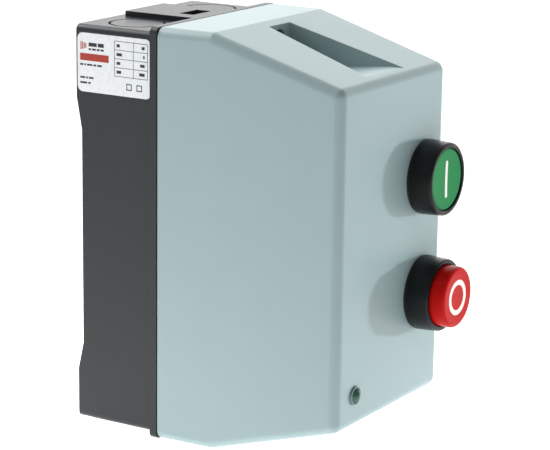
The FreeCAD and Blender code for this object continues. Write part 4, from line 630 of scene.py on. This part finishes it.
# the sheet's border, once round, joins it to the same sheet turned over underneath
UNDER = ROWS * LANES
border = np.concatenate(
    [
        np.arange(LANES),
        np.arange(1, ROWS) * LANES + LANES - 1,
        (ROWS - 1) * LANES + np.arange(LANES - 2, -1, -1),
        np.arange(ROWS - 2, 0, -1) * LANES,
    ]
)
following = np.roll(border, -1)
skirt = np.stack([border, following, following + UNDER, border + UNDER], -1)
bar_points = np.vstack([top.reshape(-1, 3), under.reshape(-1, 3)])
bar_faces = np.vstack([sheet, sheet[:, ::-1] + UNDER, skirt]).tolist()
piece("start_symbol", (bar_points, bar_faces), "start_button", "white_inlay", instead=["start_mark"])

RING_OUTER, RING_INNER = 7.25, 5.1
RING_EDGE = 0.05
RING_SIDES = 112
across = np.linspace(RING_OUTER - RING_EDGE, RING_INNER + RING_EDGE, 9)
face = np.stack([across, dished(across, stop_front) + MARK_PROUD], 1)
ring_rear = stop_front - DISH - MARK_DEPTH
ring_profile = np.vstack([face, [(RING_INNER, ring_rear), (RING_OUTER, ring_rear)]])
ring = turned(ring_profile, BUTTON_X, STOP_Z, RING_SIDES)
piece("stop_symbol", ring, "stop_button", "white_inlay", instead=["stop_mark"])


# ---------------------------------------------------------------- springs


# of each spring: radius of the turns, radius of the wire, number of turns
BUTTON_COIL = (6.8, 0.45, 6.5)
CARRIER_COIL = (2.5, 0.3, 6.0)
RESET_COIL = (2.9, 0.25, 3.0)
CONTACT_COIL = (1.7, 0.25, 5.0)
HEATER_COIL = (3.7, 0.35, 7.0)
# the carrier's two springs stand this far above and below the core; the poles are this far apart
CARRIER_SPREAD = 13.5
POLE_PITCH = 10.5


def crushed(made):
    """Gives a spring piece its own copy of its mesh."""
    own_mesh(made)


button_span = depths("button_springs")
coils = [spring((BUTTON_X, 0, z), button_span, BUTTON_COIL) for z in (START_Z, STOP_Z)]
for label, coil in zip(("start", "stop"), coils):
    made = piece(f"{label}_return_coil", coil, "cover", "spring_steel", instead=["button_springs"])
    crushed(made)

core_x = middle("fixed_core")[0]
core_z = middle("fixed_core")[2]
carrier_span = depths("return_springs")
pair = [
    spring((core_x, 0, core_z + side * CARRIER_SPREAD), carrier_span, CARRIER_COIL) for side in (-1, 1)
]
made = piece("carrier_return_coils", joined(*pair), "root", "spring_steel", instead=["return_springs"])
crushed(made)

reset_span = depths("reset_spring")
coil = spring((BUTTON_X, 0, STOP_Z), reset_span, RESET_COIL)
made = piece("reset_return_coil", coil, "root", "spring_steel", instead=["reset_spring"])
crushed(made)

POLE_X = [core_x + step * POLE_PITCH for step in (-1.5, -0.5, 0.5, 1.5)]
contact_span = depths("contact_springs")
pressers = [spring((x, 0, core_z), contact_span, CONTACT_COIL) for x in POLE_X]
piece("contact_pressure_coils", joined(*pressers), "carrier", "spring_steel", instead=["contact_springs"])

low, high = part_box("relay_heaters")
heater_span = (low[2] / MM, high[2] / MM)
heater_depth = middle("relay_heaters")[1]
windings = [spring((x, heater_depth, 0), heater_span, HEATER_COIL, axis=2) for x in POLE_X[:3]]
piece("heater_windings", joined(*windings), "root", "silvered_copper", instead=["relay_heaters"])


# ---------------------------------------------------------------- indicator lamp


# radii of the holder: its barrel behind the panel, its rim in front, its mouth round the lens, and its
# bore behind the lens
LAMP_BARREL = 3.1
LAMP_RIM = 3.8
LAMP_MOUTH = 3.0
LAMP_BORE = 2.5
# the ledge that the lens rests on lies this far behind the panel's front face
LAMP_LEDGE = 4.1
# radii of the lens: its dome, its body and the small chamfer at its rear
DOME_RADIUS = 2.75
LENS_RADIUS = 2.9
LENS_REAR = 2.7
DOME_POWER = 2.4
LAMP_ROUND = 72

lamp_x, _, lamp_z = middle("lamp_lens")
holder_rear, ring_front = depths("lamp_holder")
lens_rear, lens_front = depths("lamp_lens")
ledge = PANEL_FRONT - LAMP_LEDGE
corners_and_radii = [
    ((LAMP_BARREL, holder_rear), 0.1),
    ((LAMP_BARREL, PANEL_FRONT), 0.05),
    ((LAMP_RIM, PANEL_FRONT), 0.08),
    ((LAMP_RIM, ring_front), 0.4),
    ((LAMP_MOUTH, ring_front), 0.2),
    ((LAMP_MOUTH, ledge), 0.1),
    ((LAMP_BORE, ledge), 0.1),
    ((LAMP_BORE, holder_rear), 0.1),
]
lamp_ring = turned(rounded(*zip(*corners_and_radii)), lamp_x, lamp_z, LAMP_ROUND)
piece("lamp_ring", lamp_ring, "cover", "lamp_body", instead=["lamp_holder"])

# dome: the depth falls from the tip as (radius / DOME_RADIUS)^DOME_POWER, to just inside the ring's face
dome_height = lens_front - ring_front + 0.15
dome_r = np.linspace(0, DOME_RADIUS, 14)
dome = np.stack([dome_r, lens_front - dome_height * (dome_r / DOME_RADIUS) ** DOME_POWER], 1)
body = np.array(
    [(LENS_RADIUS, ring_front - 0.6), (LENS_RADIUS, lens_rear + 0.2), (LENS_REAR, lens_rear), (0, lens_rear)]
)
lens = turned(np.vstack([dome, body]), lamp_x, lamp_z, LAMP_ROUND, closed=False)
piece("lamp_dome", lens, "cover", "green_lens", instead=["lamp_lens"])


# ---------------------------------------------------------------- rating label


label_low, label_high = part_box("rating_label")
film_back, film_face = label_high[0] / MM, label_low[0] / MM
rear, front = depths("rating_label")
low, high = label_low[2] / MM, label_high[2] / MM
LABEL_CORNER = 2.5
outline = rounded([(rear, low), (front, low), (front, high), (rear, high)], LABEL_CORNER, 9)
film = plate(outline, film_face, film_back, (1, 2))
piece("label_film", film, "root", "label_film", instead=["rating_label"])

# printing, as rectangles of (depth from, to, height from, to). Plain rows of short dashes stand where a
# label has small print; each row has its height, where it starts, how tall it is and its dashes
DASH_GAP = 0.5
dashes = []
for height, start, tall, lengths in (
    (73.4, 6.2, 1.5, (4.0, 2.9)),
    (71.9, 6.2, 0.75, (1.2, 1.8, 1.4, 1.5)),
    (65.6, 2.0, 0.75, (1.6, 0.8, 2.6, 1.4, 2.2)),
    (60.4, 2.0, 0.75, (2.4, 0.9, 2.2)),
    (58.3, 2.0, 0.75, (3.4, 1.2)),
):
    at = start
    for length in lengths:
        dashes.append((at, at + length, height, height + tall))
        at += length + DASH_GAP

# ruled table of four rows and two columns, with a short dash at the outer end of each cell
TABLE_REAR, TABLE_MIDDLE, TABLE_FRONT = 18.8, 27.9, 34.7
TABLE_LOW, TABLE_HIGH = 62.7, 76.7
RULE = 0.22
ROW_HEIGHT = 3.5
CELL_TOP, CELL_TALL = 2.35, 1.2
REAR_MARGIN, FRONT_MARGIN = 1.0, 1.4
rules = [
    (TABLE_REAR, TABLE_FRONT, z - RULE / 2, z + RULE / 2) for z in np.linspace(TABLE_LOW, TABLE_HIGH, 5)
]
rules += [
    (d - RULE / 2, d + RULE / 2, TABLE_LOW, TABLE_HIGH) for d in (TABLE_REAR, TABLE_MIDDLE, TABLE_FRONT)
]
cells = []
for row, (left, right) in enumerate(((1.6, 1.4), (2.6, 0.7), (1.8, 2.2), (2.2, 2.6))):
    z = TABLE_HIGH - CELL_TOP - row * ROW_HEIGHT
    left_start = TABLE_REAR + REAR_MARGIN
    right_end = TABLE_FRONT - FRONT_MARGIN
    cells.append((left_start, left_start + left, z, z + CELL_TALL))
    cells.append((right_end - right, right_end, z, z + CELL_TALL))

# two small open squares at the lower front
SQUARE, SQUARE_LINE = 2.6, 0.4
SQUARE_LOW = 57.6
squares = []
for d in (24.5, 29.4):
    near, far = d + SQUARE - SQUARE_LINE, d + SQUARE
    top_line, top_edge = SQUARE_LOW + SQUARE - SQUARE_LINE, SQUARE_LOW + SQUARE
    squares += [
        (d, far, SQUARE_LOW, SQUARE_LOW + SQUARE_LINE),
        (d, far, top_line, top_edge),
        (d, d + SQUARE_LINE, SQUARE_LOW, top_edge),
        (near, far, SQUARE_LOW, top_edge),
    ]

# a plain red bar, and a block of short red stripes that get shorter towards the front, for a sign
RED_BAR = (2.0, 16.0, 67.6, 70.5)
stripes = [(2.2 + 0.8 * k, 2.7 + 0.8 * k, 71.9 + 0.25 * k, 75.2 - 0.2 * k) for k in range(4)]

# the ink stands a little proud of the film and starts a little inside it
ink_face, ink_back = film_face - 0.02, film_face + 0.05
for label, table, ink in (
    ("label_print_black", dashes + rules + cells + squares, INK_BLACK),
    ("label_print_red", [RED_BAR, *stripes], INK_RED),
):
    piece(label, bars(table, ink_face, ink_back), "root", "label_film", material=ink, sharp=20)


# ---------------------------------------------------------------- numerals


INK_LIFT = 0.02
CAPITAL = 1.4


def numerals(name, rows, depth, material, body, slot):
    """Printed numerals facing forwards, each row (text, x, z, height), lifted by the ink's thickness.

    A font's size is CAPITAL times the height of its figures.
    """
    shapes = []
    for text, x, z, height in rows:
        curve = bpy.data.curves.new(name, "FONT")
        curve.body = text
        curve.size = height * CAPITAL
        curve.align_x = "CENTER"
        curve.align_y = "CENTER"
        curve.extrude = INK_LIFT
        holder = bpy.data.objects.new(name, curve)
        flat = bpy.data.meshes.new_from_object(holder)
        count = len(flat.vertices)
        co = np.zeros(count * 3)
        flat.vertices.foreach_get("co", co)
        co = co.reshape(-1, 3)
        points = np.stack([x + co[:, 0], depth + co[:, 2], z + co[:, 1]], 1)
        shapes.append((points, [list(p.vertices) for p in flat.polygons]))
        bpy.data.objects.remove(holder)
        bpy.data.meshes.remove(flat)
        bpy.data.curves.remove(curve)
    return piece(name, joined(*shapes), body, slot, material=material, sharp=30)


contactor_face = depths("contactor_front")[1]
TOP_ROW, FOOT_ROW, TERMINAL_FIGURE = 42.0, 6.0, 2.4
tops = [(text, x, TOP_ROW, TERMINAL_FIGURE) for text, x in zip(("1", "3", "5", "13"), POLE_X)]
feet = [(text, x, FOOT_ROW, TERMINAL_FIGURE) for text, x in zip(("2", "4", "6", "14"), POLE_X)]
numerals("contactor_numerals", tops + feet, contactor_face, INK_WHITE, "root", "contactor_plastic")

# the dial's scale lies on an ellipse round it, a little wider than it is high
relay_face = depths("relay_front")[1]
dial_x, _, dial_z = middle("current_dial")
SCALE_WIDE, SCALE_HIGH, SCALE_FIGURE = 7.6, 7.2, 1.7
scale = []
for text, degrees in (("6", 225), ("7", 150), ("8", 90), ("9", 30), ("10", -45)):
    turn = math.radians(degrees)
    spot = (dial_x + SCALE_WIDE * math.cos(turn), dial_z + SCALE_HIGH * math.sin(turn))
    scale.append((text, *spot, SCALE_FIGURE))
numerals("dial_numerals", scale, relay_face, INK_BLACK, "root", "relay_cap_plastic")


# ---------------------------------------------------------------- stage, light and camera


FLOOR_GAP = 0.0003
FLOOR_HALF = 4
floor_z = CAD_LOW[2] - FLOOR_GAP
floor_mesh = bpy.data.meshes.new("floor")
floor_mesh.from_pydata(
    [
        (-FLOOR_HALF, -FLOOR_HALF, floor_z),
        (FLOOR_HALF, -FLOOR_HALF, floor_z),
        (FLOOR_HALF, FLOOR_HALF, floor_z),
        (-FLOOR_HALF, FLOOR_HALF, floor_z),
    ],
    [],
    [(0, 1, 2, 3)],
)
floor_mesh.materials.append(FLOOR_SHEET_PAINTED_GLOW)
# painted glow: the floor emits light strongly round the object, which fills in the object's shadow on the
# floor and lights its lower faces, and faintly beyond the far distance
GLOW_NEAR_REACH = 0.08
GLOW_FAR_REACH = 0.40
PAINTED_GLOW_NEAR = 1.15
PAINTED_GLOW_FAR = 0.25
table = FLOOR_SHEET_PAINTED_GLOW.node_tree
place = table.nodes["Texture Coordinate"].outputs["Object"]
reach = add(table, "ShaderNodeVectorMath", {0: place}, operation="LENGTH")
painted_glow = add(
    table,
    "ShaderNodeMapRange",
    {
        "Value": reach.outputs["Value"],
        "From Min": GLOW_NEAR_REACH,
        "From Max": GLOW_FAR_REACH,
        "To Min": PAINTED_GLOW_NEAR,
        "To Max": PAINTED_GLOW_FAR,
    },
    interpolation_type="SMOOTHSTEP",
)
floor_skin = table.nodes["Principled BSDF"]
floor_skin.inputs["Emission Color"].default_value = (1, 1, 1, 1)
table.links.new(painted_glow.outputs["Result"], floor_skin.inputs["Emission Strength"])
floor = bpy.data.objects.new("floor", floor_mesh)
bpy.context.scene.collection.objects.link(floor)
floor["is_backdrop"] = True

# the room is dim on the near side and opens to a bright white sweep beyond the object, between two
# values of the cosine from the sweep's middle; the camera itself sees plain white
SWEEP = Vector((0.85, 0.50, 0.15)).normalized()
SWEEP_EDGE = 0.35
SWEEP_CORE = 0.95
DIM = 0.29
BRIGHT = 2.3
world = bpy.data.worlds.new("white_studio")
bpy.context.scene.world = world
world.use_nodes = True
sky = world.node_tree
sky.nodes.clear()
seen = add(sky, "ShaderNodeLightPath").outputs["Is Camera Ray"]
toward = add(sky, "ShaderNodeTexCoord").outputs["Generated"]
facing = add(sky, "ShaderNodeVectorMath", {0: toward, 1: SWEEP}, operation="DOT_PRODUCT")
lit = add(
    sky,
    "ShaderNodeMapRange",
    {
        "Value": facing.outputs["Value"],
        "From Min": SWEEP_EDGE,
        "From Max": SWEEP_CORE,
        "To Min": DIM,
        "To Max": BRIGHT,
    },
)
level = add(sky, "ShaderNodeMix", {0: seen, 2: lit.outputs["Result"], 3: 1.0})
paper = add(sky, "ShaderNodeBackground", {"Color": (1, 1, 1, 1), "Strength": level.outputs[0]})
add(sky, "ShaderNodeOutputWorld", {"Surface": paper.outputs["Background"]})


def softbox(name, place, target, size, power, mirrored=True):
    """Square white area light at a place, facing its target; it may be kept out of reflections."""
    lamp = bpy.data.lights.new(name, "AREA")
    lamp.size = size
    lamp.energy = power
    box = bpy.data.objects.new(name, lamp)
    box.location = place
    box.visible_glossy = mirrored
    box.rotation_mode = "QUATERNION"
    box.rotation_quaternion = (Vector(target) - Vector(place)).to_track_quat("-Z", "Y")
    bpy.context.scene.collection.objects.link(box)


OBJECT_MIDDLE = (0, -0.07, 0)
softbox("light_above_rear", (-0.10, 0.80, 0.72), OBJECT_MIDDLE, size=0.6, power=13.5)
softbox("light_low_right", (0.86, -0.58, -0.07), OBJECT_MIDDLE, size=0.05, power=7.4, mirrored=False)

# the camera looks at a point on the object from this far off, moved a little left and up in its picture
AZIMUTH = math.radians(-58.279)
ELEVATION = math.radians(13.627)
ROLL = math.radians(0.772)
LOOK_AT = Vector((0, -0.080, 0))
DISTANCE = 0.910245
MOVED_LEFT = 0.010242
MOVED_UP = 0.00209
level_out = math.cos(ELEVATION)
back = Vector((math.sin(AZIMUTH) * level_out, -math.cos(AZIMUTH) * level_out, math.sin(ELEVATION)))
level_right = Vector((math.cos(AZIMUTH), math.sin(AZIMUTH), 0))
level_up = back.cross(level_right)
right = math.cos(ROLL) * level_right + math.sin(ROLL) * level_up
up = math.cos(ROLL) * level_up - math.sin(ROLL) * level_right
stand = LOOK_AT + back * DISTANCE - level_right * MOVED_LEFT + level_up * MOVED_UP
camera_data = bpy.data.cameras.new("camera")
camera_data.lens = 147.84
camera_data.sensor_width = 36.0
camera_data.clip_start = 0.01
camera_data.clip_end = 20.0
camera = bpy.data.objects.new("camera", camera_data)
camera.matrix_world = Matrix.Translation(stand) @ Matrix((right, up, back)).transposed().to_4x4()
bpy.context.scene.collection.objects.link(camera)
bpy.context.scene.camera = camera
bpy.context.scene.view_settings.view_transform = "Standard"

low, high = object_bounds()
